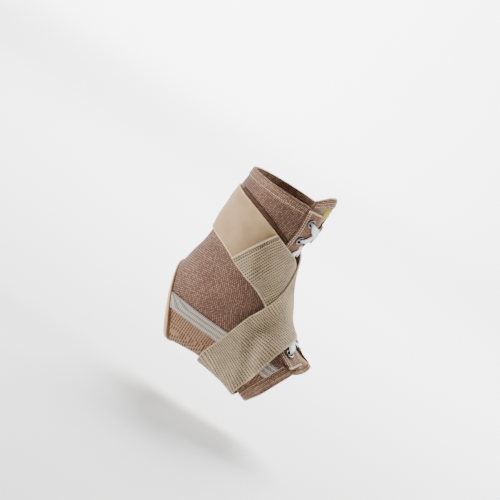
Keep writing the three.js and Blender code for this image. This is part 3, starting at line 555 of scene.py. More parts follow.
def sewing_thread(name, shade, worn):
    thread = Finish(name, roughness=0.7)
    thread.colour(thread.mix(thread.noise(3.0, on_cloth=False), shade, worn))
    return thread.material


band_velour, selvedge_weave, heel_roll = velour(), woven_selvedge(), rolled_binding()
lace_braid, patch_satin = braided_lace(), plain_patch()
light_thread = sewing_thread("light_thread", paint(222, 194, 160), paint(236, 214, 186))
dark_thread = sewing_thread("dark_thread", paint(54, 36, 24), paint(84, 60, 42))

# %% [markdown]
# The eyelets are nickel plated. The crown is in the metal's own bright tone.
# Painted shade darkens the barrel, and a painted shadow darkens the ring where
# it meets the cloth. So the finish reads the distance from the eyelet's axis,
# which each ring carries in its UV map.

# %% Nickel
nickel = Finish("eyelet_nickel", roughness=0.22, metallic=1.0)
smear = nickel.between(nickel.noise(1.6, 3.0, on_cloth=False), 0.35, 0.7)
radius = nickel.across()
crown = nickel.mix(smear, paint(92, 94, 98), paint(160, 162, 166))
# Painted shadow: a dark ring round the rim, where the eyelet meets the cloth.
rim_shade = nickel.mix(nickel.between(radius, 4.0, 4.4), crown, paint(30, 27, 25))
# Painted shade: nearly black down in the barrel, inside the hole.
nickel.colour(nickel.mix(nickel.between(radius, 2.85, 3.25), paint(14, 13, 13), rim_shade))
nickel.tree.links.new(nickel.between(smear, -0.6, 2.2), nickel.shader.inputs["Roughness"])
print("finishes:", len(bpy.data.materials))

# %% [markdown]
# ## Knitted sleeve
# The sleeve runs from the rim to the side seams. In front it ends under the
# plackets, and at the back the heel opening is cut out of it. One half is laid
# out and mirrored, and the rows are set so that one falls on the top of the
# opening and one on its corner with the side seam.

# %% Edges of the sleeve
GAP_TOP, GAP_MIDDLE, GAP_TOE = 24, 8.5, 27
PLACKET_WIDTH, PLACKET_OVERLAP = 18.5, 2
HEEL_TOP, HEEL_LOW = np.array([-57.0, 0, -15.0]), np.array([-29.0, 0, -80.0])
HEEL_CUT = unit(np.array([HEEL_TOP[2] - HEEL_LOW[2], 0, HEEL_LOW[0] - HEEL_TOP[0]]))
CUT_AWAY = 2.6
SEAM_DROP, SEAM_FALL = 38, 0.06


def half_gap(s):
    """Half the opening between the plackets, wide at the rim and at the toe end."""
    top = np.maximum(1 - np.maximum(s, 0) / 3, 0)
    toe = np.maximum(1 - (LAST - np.minimum(s, LAST)) / 4, 0)
    return (GAP_MIDDLE + (GAP_TOP - GAP_MIDDLE) * top ** 2 + (GAP_TOE - GAP_MIDDLE) * toe ** 2) / 2


def root(low, high, value):
    """Halves the stretch again and again round the place where the value changes sign."""
    low, high = (np.atleast_1d(np.asarray(x, float)).copy() for x in (low, high))
    start = np.sign(value(low))
    for _ in range(40):
        middle = (low + high) / 2
        same = np.sign(value(middle)) == start
        low, high = np.where(same, middle, low), np.where(same, high, middle)
    return (low + high) / 2


def beside_heel_cut(s, t, away):
    normal = outward(s, t)
    flat = HEEL_CUT - normal * (normal @ HEEL_CUT)[..., None]
    return (surface(s, t) - HEEL_TOP) @ HEEL_CUT - away * np.linalg.norm(flat, axis=-1)


def heel_angle(s, away):
    s = np.atleast_1d(s)
    return -root(np.full(s.shape, np.pi / 3), np.full(s.shape, np.pi), lambda t: beside_heel_cut(s, -t, away))


def above_seam(point):
    """Height over the side seam, which falls a little towards the front."""
    return point[..., 2] + SEAM_DROP + SEAM_FALL * (point[..., 0] - HEEL_TOP[0])


def seam_angle(s, height):
    s = np.atleast_1d(s)
    return -root(np.zeros(s.shape), np.full(s.shape, np.pi), lambda t: above_seam(surface(s, -t)) - height)


def heel_ends(away):
    """Sections at which the heel cut meets the form's back, above and below."""
    return [root(low, high, lambda s: beside_heel_cut(s, np.full(s.shape, np.pi), away))[0]
            for low, high in ((3, 5.5), (6, 9))]


heel_top, heel_low = heel_ends(CUT_AWAY)
corner = root(heel_top + 0.05, 7, lambda s: heel_angle(s, CUT_AWAY) - seam_angle(s, 0))[0]
print("heel opening from section", round(heel_top, 2), "to", round(heel_low, 2), "corner", round(corner, 2))

# %% Lay out the sleeve
side_s = np.arange(-1, 12, 0.05)
side_length = running_length(surface(side_s, 0 * side_s - 1.6))


def sleeve_rule(u, v):
    s = np.interp(v, [0, 0.4, 0.6, 1], [0, heel_top, corner, LAST])
    lines, back = np.unique(s.round(6), return_inverse=True)
    front = angle_at_arc(lines, -(half_gap(lines) + PLACKET_WIDTH - PLACKET_OVERLAP))
    opening = np.clip(lines, heel_top + 1e-4, None)
    rear = np.where(lines <= heel_top + 1e-4, -np.pi,
                    np.where(lines <= corner, heel_angle(opening, CUT_AWAY), seam_angle(lines, 0.2)))
    t = front[back] + (rear - front)[back] * u
    ease = 0.18 * np.sin(s * 5.1 + 2 * t) * np.sin(3 * t + s)
    weave = np.stack([arc_from_front(s, t), np.interp(s, side_s, side_length)], -1)
    return s, t, 2.0 + ease, weave


sleeve = worn_cloth("knitted_sleeve", 70, 140, sleeve_rule, sleeve_knit, "upper_sleeve", 2.0, mirror=True)
print("sleeve faces:", len(sleeve.data.polygons))

# %% [markdown]
# ## Arch band and selvedge
# The arch band wraps the sole from one side seam to the other, with its ribs
# up and down. The grey selvedge is the smooth strip along its top edge.

# %% Lay out the arch band
def arch_rule(u, v):
    start = corner + 0.03
    s = np.where(v < 0.4, heel_low + (start - heel_low) * (1 - np.minimum(v, 0.4) / 0.4) ** 2,
                 heel_low + (LAST - heel_low) * (v - 0.4) / 0.6)
    lines, back = np.unique(s.round(6), return_inverse=True)
    front = seam_angle(lines, -0.2)
    opening = np.minimum(lines, heel_low - 1e-4)
    rear = np.where(lines >= heel_low - 1e-4, -np.pi, heel_angle(opening, CUT_AWAY))
    t = front[back] + (rear - front)[back] * u
    around = np.linalg.norm(partials(s, t)[1], axis=-1) * (t - front[back])
    place = surface(s, t)
    return s, t, np.full(s.shape, 2.0), np.stack([around, place[:, 0] - SEAM_FALL * place[:, 2]], -1)


arch = worn_cloth("arch_band_rib", 60, 120, arch_rule, arch_rib, "arch_band", 2.0, mirror=True)


SELVEDGE_WIDTH, SELVEDGE_END = 14, 9.62


def selvedge_rule(sign):
    def rule(u, v):
        s = corner + 0.06 + (SELVEDGE_END - corner) * v
        lines, back = np.unique(s.round(6), return_inverse=True)
        upper = seam_angle(lines, -0.4)
        opening = heel_angle(np.minimum(lines, heel_low - 1e-4), CUT_AWAY)
        low_edge = np.where(lines < heel_low, opening, -np.pi)
        lower = np.maximum(low_edge, seam_angle(lines, -SELVEDGE_WIDTH))
        t = upper[back] + (lower - upper)[back] * u
        along = running_length(surface(lines, upper))
        crown = 0.25 * np.cos(np.pi * (u * 3 - 0.5) * 2)
        return s, sign * t, 3.1 + crown, np.stack([u * SELVEDGE_WIDTH, along[back]], -1)
    return rule


selvedges = [worn_cloth("selvedge_strip_" + side, 16, 90, selvedge_rule(-sign), selvedge_weave,
                        "selvedge_" + side, 0.9) for side, sign in SIDES]
print("arch band faces:", len(arch.data.polygons))

# %% [markdown]
# ## Tubes and folded edges
# Bindings and hems are closed bands: a short profile that is carried along an
# edge. The grid is laid out with its first and last column on the same line,
# and merging these doubles closes it.

# %% Closed profile along an edge
def through(points, steps):
    """A smooth line from the second point to the last but one."""
    f = np.linspace(0, 1, steps + 1)[:-1, None]
    pieces = [spline(*four, f) for four in zip(points, points[1:], points[2:], points[3:])]
    return np.concatenate(pieces + [points[-2:-1]])


def closed_curve(points, count):
    """Evenly spaced points on a smooth closed curve through a few given ones."""
    points = np.array(points[-1:] + points + points[:2], float)
    return along_line(through(points, 12), np.linspace(0, 1, count + 1))


def along_line(points, shares):
    length = running_length(points)
    return np.stack([np.interp(np.asarray(shares) * length[-1], length, points[:, k])
                     for k in range(points.shape[1])], -1)


def close_up(bm, merge=0.001):
    """Merges the doubles where a grid meets itself, fills its ends and turns its faces out."""
    bmesh.ops.remove_doubles(bm, verts=bm.verts, dist=merge)
    bmesh.ops.holes_fill(bm, edges=[e for e in bm.edges if e.is_boundary], sides=0)
    bmesh.ops.recalc_face_normals(bm, faces=bm.faces)


def tube(name, around, centre, across, up, section, finish, node, merge=0.001):
    """section(i, angle) gives a point's reach across and up from the line, and its weave."""
    along = len(centre) - 1
    bm, u, v = grid_shares(around, along)
    i, angle = np.rint(v * along).astype(int), u * 2 * np.pi
    wide, high, weave = section(i, angle)
    points = centre[i] + across[i] * wide[:, None] + up[i] * high[:, None]
    place_points(bm, points, np.stack(weave, -1))
    close_up(bm, merge)
    return settle(name, bm, finish, node)


def folded_edge(name, profile, around, along, rule, finish, node):
    """rule(down, height, v) gives the place of a profile point at share v of the way."""
    bm, u, v = grid_shares(around, along)
    curve = closed_curve(profile, around)
    step = np.rint(u * around).astype(int)
    s, t, height, weave_v = rule(curve[step, 0], curve[step, 1], v)
    place_points(bm, lifted(s, t, height), np.stack([running_length(curve)[step], weave_v], -1))
    close_up(bm)
    return settle(name, bm, finish, node)


def inward_from(edge, down, t):
    """Section at so many millimetres down from the rim or up from the hem."""
    reach = np.linalg.norm(partials(np.full(t.shape, edge), t)[0], axis=-1)
    return edge + (1 if edge == RIM else -1) * down / reach


def round_the_back(edge, clear, share):
    """Angle at a share of the way from one placket round the back to the other."""
    start = angle_at_arc(edge, -(half_gap(edge) + PLACKET_WIDTH + clear))
    return start + (-2 * np.pi - 2 * start) * share


def hem_rule(edge):
    def rule(down, height, v):
        t = round_the_back(edge, 0.2, v)
        return inward_from(edge, down, t), t, height, v * 240
    return rule


# Millimetres down from the edge, and height over the form.
RIM_FOLD = [(9.4, 1.9), (9.2, 2.35), (8.2, 2.6), (4.5, 2.85), (0.8, 3.1), (-0.6, 2.7), (-1.1, 1.5),
            (-0.7, 0.2), (0.6, -0.35), (5.0, -0.3), (5.8, 0.4), (5.8, 1.2)]
hems = [folded_edge(name, RIM_FOLD, 36, 200, hem_rule(edge), hem_knit, node)
        for name, edge, node in (("rim_fold", RIM, "top_hem"), ("foot_fold", HEM, "foot_hem"))]
print("hem profile points:", len(RIM_FOLD))

# %% [markdown]
# The heel binding is a soft roll round the opening. It is thin at the upper
# end and fuller low down, as in the picture, and it is coloured dark brown on
# the side that faces the cloth.

# %% Heel binding
BINDING_WIDE, BINDING_HIGH, PUCKERS = 3.0, 2.3, 58


def binding_path(count):
    """Places along the opening's edge, each with its outward direction and its section."""
    share = (1 - np.cos(np.linspace(0, np.pi, 60))) / 2
    top, low = heel_ends(0)
    s = top + (low - top) * share
    t = heel_angle(np.clip(s, top + 1e-4, low - 1e-4), 0)
    t[0] = t[-1] = -np.pi
    s, t = np.concatenate([s, s[-2:0:-1], s[:1]]), np.concatenate([t, -t[-2:0:-1], t[:1]])
    places = np.concatenate([lifted(s, t, np.full(s.shape, 1.0)), outward(s, t), s[:, None]], -1)
    return along_line(places, np.linspace(0, 1, count + 1))


def heel_binding(along=260):
    path = binding_path(along)
    centre, normal, at = path[:, :3], unit(path[:, 3:6]), path[:, 6]
    ahead = np.roll(centre[:-1], -1, axis=0) - np.roll(centre[:-1], 1, axis=0)
    across = unit(np.cross(np.concatenate([ahead, ahead[:1]]), normal))

    def section(i, angle):
        fuller = 0.8 + 0.75 * near(7.6 - at[i], 2.6)
        pucker = 1 + 0.035 * np.sin(i / along * 2 * np.pi * PUCKERS)
        wide = BINDING_WIDE * fuller * pucker * (np.cos(angle) - 0.25)
        return wide, BINDING_HIGH * pucker * np.sin(angle), (angle * 6.5 / np.pi - 6.5, i / along * 230)
    return tube("heel_roll", 20, centre, across, normal, section, heel_roll, "heel_binding", 0.01)


binding = heel_binding()
print("binding faces:", len(binding.data.polygons))

# %% [markdown]
# ## Plackets
# The plackets are folded facings that carry the eyelets. The weave is dense
# enough here to open real holes: the faces round each eyelet's axis are taken
# out before the cloth gets its wall, and the metal covers the rim.

# %% Rows of eyelets
EYELET_ROWS, EYELET_INSET, EYELET_RADIUS = 8, 8.8, 4.6
FIRST_ROW, LAST_ROW = 13, 14
pitch = (LACED_LENGTH - FIRST_ROW - LAST_ROW) / (EYELET_ROWS - 1)
eyelet_s = section_at_length(FIRST_ROW + pitch * np.arange(EYELET_ROWS))
eyelet_arc = half_gap(eyelet_s) + EYELET_INSET
eyelet_t = angle_at_arc(eyelet_s, eyelet_arc)
print("eyelet pitch:", round(pitch, 1), "mm")


def placket_height(inward):
    """The facing lies flat, its front edge is folded, and it steps up over the sleeve's edge."""
    return 2.5 + 1.55 * (1 - near(inward - 12.8, 3.4)) + 0.35 * near(inward, 1.6)


def placket_rule(sign):
    def rule(u, v):
        s = v * LAST
        lines, back = np.unique(s.round(6), return_inverse=True)
        front, rear = half_gap(lines), half_gap(lines) + PLACKET_WIDTH
        arcs = np.linspace(0, 1, 9)
        table = angle_at_arc(lines[:, None], front[:, None] + (rear - front)[:, None] * arcs)
        column = np.clip(u * 8, 0, 7.999).astype(int)
        f = u * 8 - column
        t = table[back, column] * (1 - f) + table[back, column + 1] * f
        weave = np.stack([u * PLACKET_WIDTH, length_at_section(s)], -1)
        return s, sign * t, placket_height(u * PLACKET_WIDTH), weave
    return rule


def open_eyelets(sign):
    """Takes out the faces round each eyelet and draws the edge of the hole to a circle."""
    axes = [(Vector(lifted(s, sign * t, 2.5)), Vector(outward(s, sign * t)))
            for s, t in zip(eyelet_s, eyelet_t)]

    def cut(bm):
        for centre, axis in axes:
            near_by = [f for f in bm.faces if (f.calc_center_median() - centre).length < 3.4]
            bmesh.ops.delete(bm, geom=near_by, context="FACES")
            for vert in bm.verts:
                away = vert.co - centre
                away -= axis * away.dot(axis)
                if vert.is_boundary and away.length < 4.2 and (vert.co - centre).length < 5:
                    vert.co += away.normalized() * (3.3 - away.length)
    return cut


plackets = [worn_cloth("placket_facing_" + side, 36, 380, placket_rule(sign), placket_knit,
                       "placket_" + side, 1.6, 0.3, cut=open_eyelets(sign)) for side, sign in SIDES]
print("placket faces:", len(plackets[0].data.polygons))

# %% [markdown]
# Each eyelet is a pressed ring: a half profile that is spun about its axis,
# with a rolled crown and a short barrel through the cloth.

# %% Eyelets
RING = [(2.2, -2.0), (2.25, -0.8), (2.6, 0.2), (3.05, 0.75), (3.6, 0.98), (4.15, 0.75), (4.6, 0.1),
        (4.5, -0.1), (2.75, -0.4), (2.5, -2.0)]


def eyelet(name, node, s, t):
    bm = spin_profile(RING, 36, True, 0.001)
    bmesh.ops.recalc_face_normals(bm, faces=bm.faces)
    layer = bm.loops.layers.uv.new("weave")
    for face in bm.faces:
        for loop in face.loops:
            loop[layer].uv = (loop.vert.co.xy.length, loop.vert.co.z)
    upright = Vector(outward(s, t)).to_track_quat("Z", "Y").to_matrix().to_4x4()
    stand = Matrix.Translation(Vector(lifted(s, t, 3.0))) @ upright
    bmesh.ops.transform(bm, matrix=stand, verts=bm.verts)
    return settle(name, bm, nickel.material, node)


eyelets = [eyelet(f"ring_{side}_{i + 1}", f"eyelet_{side}_{i + 1}", eyelet_s[i], sign * eyelet_t[i])
           for side, sign in SIDES for i in range(EYELET_ROWS)]
print("eyelets:", len(eyelets))

# %% [markdown]
# ## Tongue
# The tongue lies under the plackets and stands out past the rim and past the
# foot hem. Its top edge is faced, its lower end is rounded, and between the
# plackets it bulges a little.

# %% Lay out the tongue
TONGUE_WIDTH, TONGUE_TOE_WIDTH, TONGUE_RISE, TONGUE_DROP = 54, 66, 17, 7


def tongue_half(s):
    f = np.clip(s / LAST, 0, 1)
    return (TONGUE_WIDTH + (TONGUE_TOE_WIDTH - TONGUE_WIDTH) * f ** 3) / 2


def tongue_height(s, arc):
    """Low under the plackets, bulging between them, and curled in at the top."""
    gap, length = half_gap(s), length_at_section(s)
    free = near(np.abs(arc) - 0.2 * gap, 0.8 * gap)
    curled = np.clip((-8 - length) / 9, 0, 1)
    bulge = 1.6 + 2.6 * near(LACED_LENGTH + 4 - length, 14)
    return -0.8 + bulge * free - 2.4 * curled * curled


def tongue_top(u):
    return section_at_length(-TONGUE_RISE * (1 - 0.55 * u * u))


def tongue_toe(u):
    askew = np.clip((u + 0.3) / 0.6, 0, 1)
    return section_at_length(LACED_LENGTH + TONGUE_DROP * (1 - u ** 4) - 3.6 * askew * askew * (3 - 2 * askew))


def on_tongue(u, s):
    """Angle, height and arc at share u of the tongue's half width."""
    arc = u * tongue_half(s)
    return angle_at_arc(s, arc), tongue_height(s, arc), arc


def tongue_rule(u, v):
    u = 2 * u - 1
    s = tongue_top(u) + (tongue_toe(u) - tongue_top(u)) * v
    t, height, arc = on_tongue(u, s)
    return s, t, height, np.stack([arc, length_at_section(s)], -1)


tongue = worn_cloth("tongue_knit", 44, 150, tongue_rule, tongue_knit, "tongue", 1.8, 0.6)

TONGUE_FOLD = [(8.2, 0.1), (8.2, 0.8), (7.5, 1.15), (3.5, 1.25), (0.6, 1.2), (-0.5, 0.7), (-0.9, -0.9),
               (-0.4, -2.0), (0.8, -2.25), (4.0, -2.2), (4.6, -1.4)]


def tongue_fold_rule(down, height, v):
    u = (2 * v - 1) * 0.985
    s = section_at_length(length_at_section(tongue_top(u)) + down)
    t, bed, arc = on_tongue(u, s)
    return s, t, bed + height, arc


tongue_fold = folded_edge("tongue_fold", TONGUE_FOLD, 30, 60, tongue_fold_rule, hem_knit, "tongue_hem")


def label_rule(down, long, wide, lift):
    def rule(u, v):
        s = section_at_length(-TONGUE_RISE + down + long * v)
        arc = (u - 0.5) * wide
        return s, angle_at_arc(s, arc), tongue_height(s, arc) + lift, np.stack([arc, v * long], -1)
    return rule


label_ground = worn_cloth("label_ground", 20, 12, label_rule(8.6, 16, 40, 0.45), label_twill,
                          wall=0.4, edge=0.1)
label = worn_cloth("tongue_patch", 20, 12, label_rule(10.2, 11, 20, 0.9), patch_satin,
                   "tongue_label", 0.8, 0.2)
print("tongue faces:", len(tongue.data.polygons))

# %% [markdown]
# ## Band and straps
# Elastic bands follow the shortest smooth way over the form. Each has a middle
# line, given by a few places that the picture fixes. A strip is walked out
# square from that line to both sides, which keeps its true width.

# %% Strips on the form
def even_line(table, count):
    """Even places on the same smooth line through the table as the solids have."""
    p = np.array(table, float) * (1, math.pi / 180)
    p = np.concatenate([2 * p[:1] - p[1:2], p, 2 * p[-1:] - p[-2:-1]])
    f = np.linspace(0, 1, 31)[:-1, None]
    line = []
    for a, b, c, d in zip(p, p[1:], p[2:], p[3:]):
        ab, bc, cd = (np.linalg.norm(y - x) ** 0.5 for x, y in ((a, b), (b, c), (c, d)))
        first = ((b - a) / ab - (c - a) / (ab + bc) + (c - b) / bc) * bc
        second = ((c - b) / bc - (d - b) / (bc + cd) + (d - c) / cd) * bc
        line.append(b + first * f + (3 * (c - b) - 2 * first - second) * f ** 2
                    + (2 * (b - c) + first + second) * f ** 3)
    line = np.concatenate(line + [p[-2:-1]])
    length = running_length(surface(line[:, 0], line[:, 1]))
    even = np.linspace(0, length[-1], count + 1)
    return np.stack([np.interp(even, length, line[:, k]) for k in (0, 1)], -1), length[-1]


def walk(s, t, heading, length, steps=8):
    """Walks straight ahead over the form, as a flat strip would lie."""
    for _ in range(steps):
        ds, dt = partials(s, t)
        ss, st, tt = (ds * ds).sum(-1), (ds * dt).sum(-1), (dt * dt).sum(-1)
        hs, ht = (heading * ds).sum(-1) * length / steps, (heading * dt).sum(-1) * length / steps
        area = ss * tt - st * st
        s, t = s + (hs * tt - ht * st) / area, t + (ht * ss - hs * st) / area
        normal = outward(s, t)
        heading = unit(heading - normal * (heading * normal).sum(-1, keepdims=True))
    return s, t


def strip_places(line, width, columns, shift=0.0):
    """Section and angle for each station of the line and each column across it."""
    s, t = line.T
    across = unit(np.cross(np.gradient(surface(s, t), axis=0), outward(s, t)))
    reach = shift + width * (np.linspace(0, 1, columns + 1) - 0.5)
    return walk(s[:, None], t[:, None], across[:, None], reach)


def between_plackets(s, t, count):
    """The same columns, each cut where it meets the plackets."""
    clear = np.abs(arc_from_front(s, t)) - (half_gap(s) + PLACKET_WIDTH) - 0.3
    out_s, out_t = np.empty((count + 1, s.shape[1])), np.empty((count + 1, s.shape[1]))
    index = np.arange(len(s))
    for j in range(s.shape[1]):
        inside = np.flatnonzero(clear[:, j] > 0)
        first, last = inside[0], inside[-1]
        start = first - clear[first, j] / (clear[first, j] - clear[first - 1, j]) if first else 0
        end = last
        if last < len(s) - 1:
            end = last + clear[last, j] / (clear[last, j] - clear[last + 1, j])
        at = np.linspace(start, end, count + 1)
        out_s[:, j], out_t[:, j] = np.interp(at, index, s[:, j]), np.interp(at, index, t[:, j])
    return out_s, out_t


def strip(name, s, t, height, width, finish, node, wall, edge=0.4):
    """A piece from places that already lie on the form, rows along and columns across."""
    rows, columns = s.shape[0] - 1, s.shape[1] - 1
    along = running_length(surface(s[:, columns // 2], t[:, columns // 2]))
    bm, u, v = grid_shares(columns, rows)
    i, j = np.rint(v * rows).astype(int), np.rint(u * columns).astype(int)
    normal = outward(s[i, j], t[i, j])
    points = surface(s[i, j], t[i, j]) + normal * height[i, j][:, None]
    place_points(bm, points, np.stack([u * width, along[i]], -1))
    bm.faces.ensure_lookup_table()
    bm.normal_update()
    sample = bm.faces[len(bm.faces) // 2]
    if sample.normal.dot(Vector(normal[sample.verts[0].index])) < 0:
        bmesh.ops.reverse_faces(bm, faces=bm.faces)
    return settle(name, bm, finish, node, wall, edge)


# %% Band round the back
# Section and angle in degrees of places on the band's middle line.
BAND = [(3.75, -10), (3.22, -31), (2.78, -55), (2.44, -76), (2.13, -102), (1.93, -137), (1.86, -180),
        (1.93, -223), (2.13, -258), (2.44, -284), (2.78, -305), (3.22, -329), (3.75, -350)]
band_line, band_length = even_line(BAND, 240)
band_s, band_t = between_plackets(*strip_places(band_line, ELASTIC_WIDTH, 40), 200)
across_band = np.linspace(-1, 1, 41)[None, :]
bead = 0.7 * near(np.abs(np.abs(across_band) - 0.965), 0.035)
slack = 0.35 * np.sin(band_t * 4.3 + 1) * np.cos(band_s * 5) + 0.15 * np.sin(band_t * 9 + band_s * 7)
back_band = strip("back_band_velour", band_s, band_t, 3.9 + bead + slack * (1 - across_band ** 2),
                  ELASTIC_WIDTH, band_velour, "back_band", 1.5)
print("band length:", round(band_length), "mm")

# %% [markdown]
# A dark tape runs beside the band's upper edge, from the placket nearly to the
# back, where it is cut off square.

# %% Dark tape beside the band
TAPE_WIDTH, TAPE_STATIONS = 4.2, 103


def beside_band(sign):
    line = band_line[:TAPE_STATIONS] if sign < 0 else band_line[::-1][:TAPE_STATIONS]
    low, high = strip_places(line[:2], ELASTIC_WIDTH, 1)
    upper = 1 if surface(low[0, 1], high[0, 1])[2] > surface(low[0, 0], high[0, 0])[2] else -1
    s, t = strip_places(line, TAPE_WIDTH, 8, upper * (ELASTIC_WIDTH / 2 + 2.4))
    return between_plackets(s, t, 120)


for side, sign in SIDES:
    tape_s, tape_t = beside_band(sign)
    crown = 3.1 + 0.3 * (1 - np.linspace(-1, 1, 9)[None, :] ** 2) + 0 * tape_s
    strip("dark_tape_" + side, tape_s, tape_t, crown, TAPE_WIDTH, edge_tape,
                       "band_edge_" + side, 1.0)

# %% [markdown]
# The straps lie on whatever is under them: the selvedge, the band, the
# plackets, and the laces with their eyelets. The height of that bed fades in
# and out over about a centimetre, as tight elastic does. Each rib is raised
# in the mesh itself, so it also shows on the outline.

# %% Bed of the straps
UPPER_STRAP = [(8.78, -176), (8.75, -140), (8.52, -102), (7.94, -68), (7.1, -36), (6.14, -13), (4.9, 9),
               (3.63, 31), (2.85, 55), (2.44, 76)]
LOWER_STRAP = [(8.78, 176), (8.75, 140), (8.52, 102), (7.94, 68), (7.08, 36), (6.15, 14), (4.25, -9),
               (3.27, -31), (2.78, -55), (2.44, -76)]


def distance_to_line(points, line):
    stations = surface(line[:, 0], line[:, 1])
    return np.min(np.linalg.norm(points[..., None, :] - stations, axis=-1), axis=-1)


def bed_height(s, t):
    point = surface(s, t)
    arc = np.abs(arc_from_front(s, t))
    seam = above_seam(point)
    # What each layer adds, and how far outside it a place lies.
    layers = [
        (1.6, np.maximum(np.maximum(seam, -SELVEDGE_WIDTH - seam), 0)),
        (2.1, distance_to_line(point, band_line[::6]) - ELASTIC_WIDTH / 2 - 1),
        (2.2, arc - half_gap(s) - PLACKET_WIDTH - 1),
        (3.1, arc - half_gap(s) - EYELET_INSET - EYELET_RADIUS - 1),
    ]
    return 2.0 + np.maximum(0.5, np.max([rise * near(outside, 13) for rise, outside in layers], axis=0))


def taut(height, reach, axis):
    """Tight elastic bridges hollows: the highest bed nearby, then its running mean."""
    shifts = range(-reach, reach + 1, max(1, reach // 4))
    pad = [(reach, reach) if k == axis else (0, 0) for k in (0, 1)]

    def around(values):
        wide, places = np.pad(values, pad, mode="edge"), np.arange(values.shape[axis]) + reach
        return np.stack([wide.take(places - k, axis) for k in shifts])
    return around(around(height).max(0)).mean(0)


def soft_fold(points):
    """One soft fold in each strap, a hollow with two low swells, where it turns to the front."""
    away = np.abs(points[..., 0] * 0.91 + points[..., 2] * 0.414 - 29)
    return 2.6 * (near(away, 28) - near(away, 11))


STATIONS_PER_RIB, STRAP_COLUMNS = 6, 26
STRAP_CLEAR, STRAP_DEPTH, CROSSING_LIFT, RIB_HEIGHT = 0.6, 1.6, 2.1, 0.16


def strap(name, table, node, other=None):
    """A strap of whole ribs on its bed, lifted where it crosses the other strap's line."""
    length = even_line(table, 10)[1]
    stations = int(length / RIB_PITCH) * STATIONS_PER_RIB
    line, length = even_line(table, stations)
    s, t = strip_places(line, ELASTIC_WIDTH, STRAP_COLUMNS)
    height = bed_height(s, t) + STRAP_CLEAR + STRAP_DEPTH
    if other is not None:
        outside = distance_to_line(surface(s, t), other[::10]) - ELASTIC_WIDTH / 2 - 5
        height = height + CROSSING_LIFT * near(outside, 18)
    height = taut(taut(height, 40, 0), 4, 1) + soft_fold(surface(s, t))
    along = np.linspace(0, length, stations + 1)[:, None]
    across = np.linspace(-1, 1, STRAP_COLUMNS + 1)[None, :]
    rib = -RIB_HEIGHT * np.cos(2 * np.pi * along / RIB_PITCH) * (np.abs(across) < 0.95)
    piece = strip(name, s, t, height + rib - 0.2, ELASTIC_WIDTH, strap_elastic, node, 1.4, 0.3)
    return piece, line, (s, t, height)


lower_strap, lower_line, lower_lay = strap("strap_under", LOWER_STRAP, "strap_from_medial_sole")
upper_strap, _, upper_lay = strap("strap_over", UPPER_STRAP, "strap_from_lateral_sole", lower_line)
print("strap faces:", len(upper_strap.data.polygons))

# %% [markdown]
# ## Laces
# Two flat laces zigzag down the front and cross between each pair of rows.
# A lace goes down through an eyelet, comes out under the edge of the placket,
# crosses the tongue and lies over the other placket up to its next eyelet.
# The route below is a list of places with a height, a width and a thickness,
# and a smooth line is drawn through them.

# %% Route of a lace
LACE_WIDTH, LACE_THICK = 7.6, 1.3
LACE_INSIDE, LACE_OVER, LACE_UNDER = 0.05, 4.9, 3.3


def lace_stops(side, over):
    """Down through one eyelet after the other, first above both plackets, then under the near one."""
    stops = [(eyelet_s[0], side * (eyelet_arc[0] - 1.2), LACE_INSIDE, 2.4, 0.9),
             (eyelet_s[0], side * (eyelet_arc[0] - 1.5), 2.8, 2.4, 1.2)]
    for row in range(EYELET_ROWS - 1):
        s0, s1 = eyelet_s[row], eyelet_s[row + 1]
        a0, a1 = side * eyelet_arc[row], -side * eyelet_arc[row + 1]
        edge = half_gap((s0 + s1) / 2)
        middle = LACE_OVER - 0.6 if over else LACE_UNDER - 0.4
        for tenth in range(1, 10):
            f = tenth / 10
            arc = a0 + (a1 - a0) * f
            across = arc * side
            if row == 0:
                height = LACE_OVER if over else LACE_OVER - (LACE_OVER - LACE_UNDER) * near(abs(arc), 10.5)
            else:
                height = np.interp(across, [-edge - 1.5, -edge, 0, edge + 0.4],
                                   [4.1, 3.8, middle - 0.7, LACE_INSIDE])
            tucked = across >= edge
            narrow = 0.6 if row and tucked else 0.66 if tenth in (1, 9) else 1
            stops.append((s0 + (s1 - s0) * f, arc, height, LACE_WIDTH * narrow, 0.9 if tucked else LACE_THICK))
        stops += [(s1, a1 + side * 1.5, 2.8, 2.4, 1.2), (s1, a1 + side * 1.2, LACE_INSIDE, 2.4, 0.9)]
        side, over = -side, not over
    return np.array(stops)


def lace(name, node, side, over):
    stops = lace_stops(side, over)
    t = angle_at_arc(stops[:, 0], stops[:, 1])
    table = np.concatenate([lifted(stops[:, 0], t, stops[:, 2]), outward(stops[:, 0], t), stops[:, 3:]], -1)
    path = through(np.concatenate([table[:1], table, table[-1:]]), 6)
    centre, normal = path[:, :3], unit(path[:, 3:6])
    far = np.pad(centre, ((12, 12), (0, 0)), mode="edge")
    across = unit(np.cross(far[24:] - far[:-24], normal))
    up = unit(np.cross(across, unit(np.gradient(centre, axis=0))))

    def section(i, angle):
        """A flat braid with rounded edges."""
        side, rise = np.cos(angle), np.sin(angle)
        wide = np.sign(side) * np.abs(side) ** 0.5 * path[i, 6] / 2
        high = np.sign(rise) * np.abs(rise) ** 0.6 * path[i, 7] / 2
        return wide, high, (side * 3.1, running_length(centre)[i])
    return tube(name, 14, centre, across, up, section, lace_braid, node)


laces = [lace("flat_lace_first", "lace_first", -1, True), lace("flat_lace_second", "lace_second", 1, False)]
print("lace faces:", len(laces[0].data.polygons))

# %% [markdown]
# ## Stitches
# A row of stitches is one small rounded stitch, set again and again along a
# line on the cloth. The rows follow the plackets, the hems, the tongue's
# rounded end and its fold, and the strap ends.

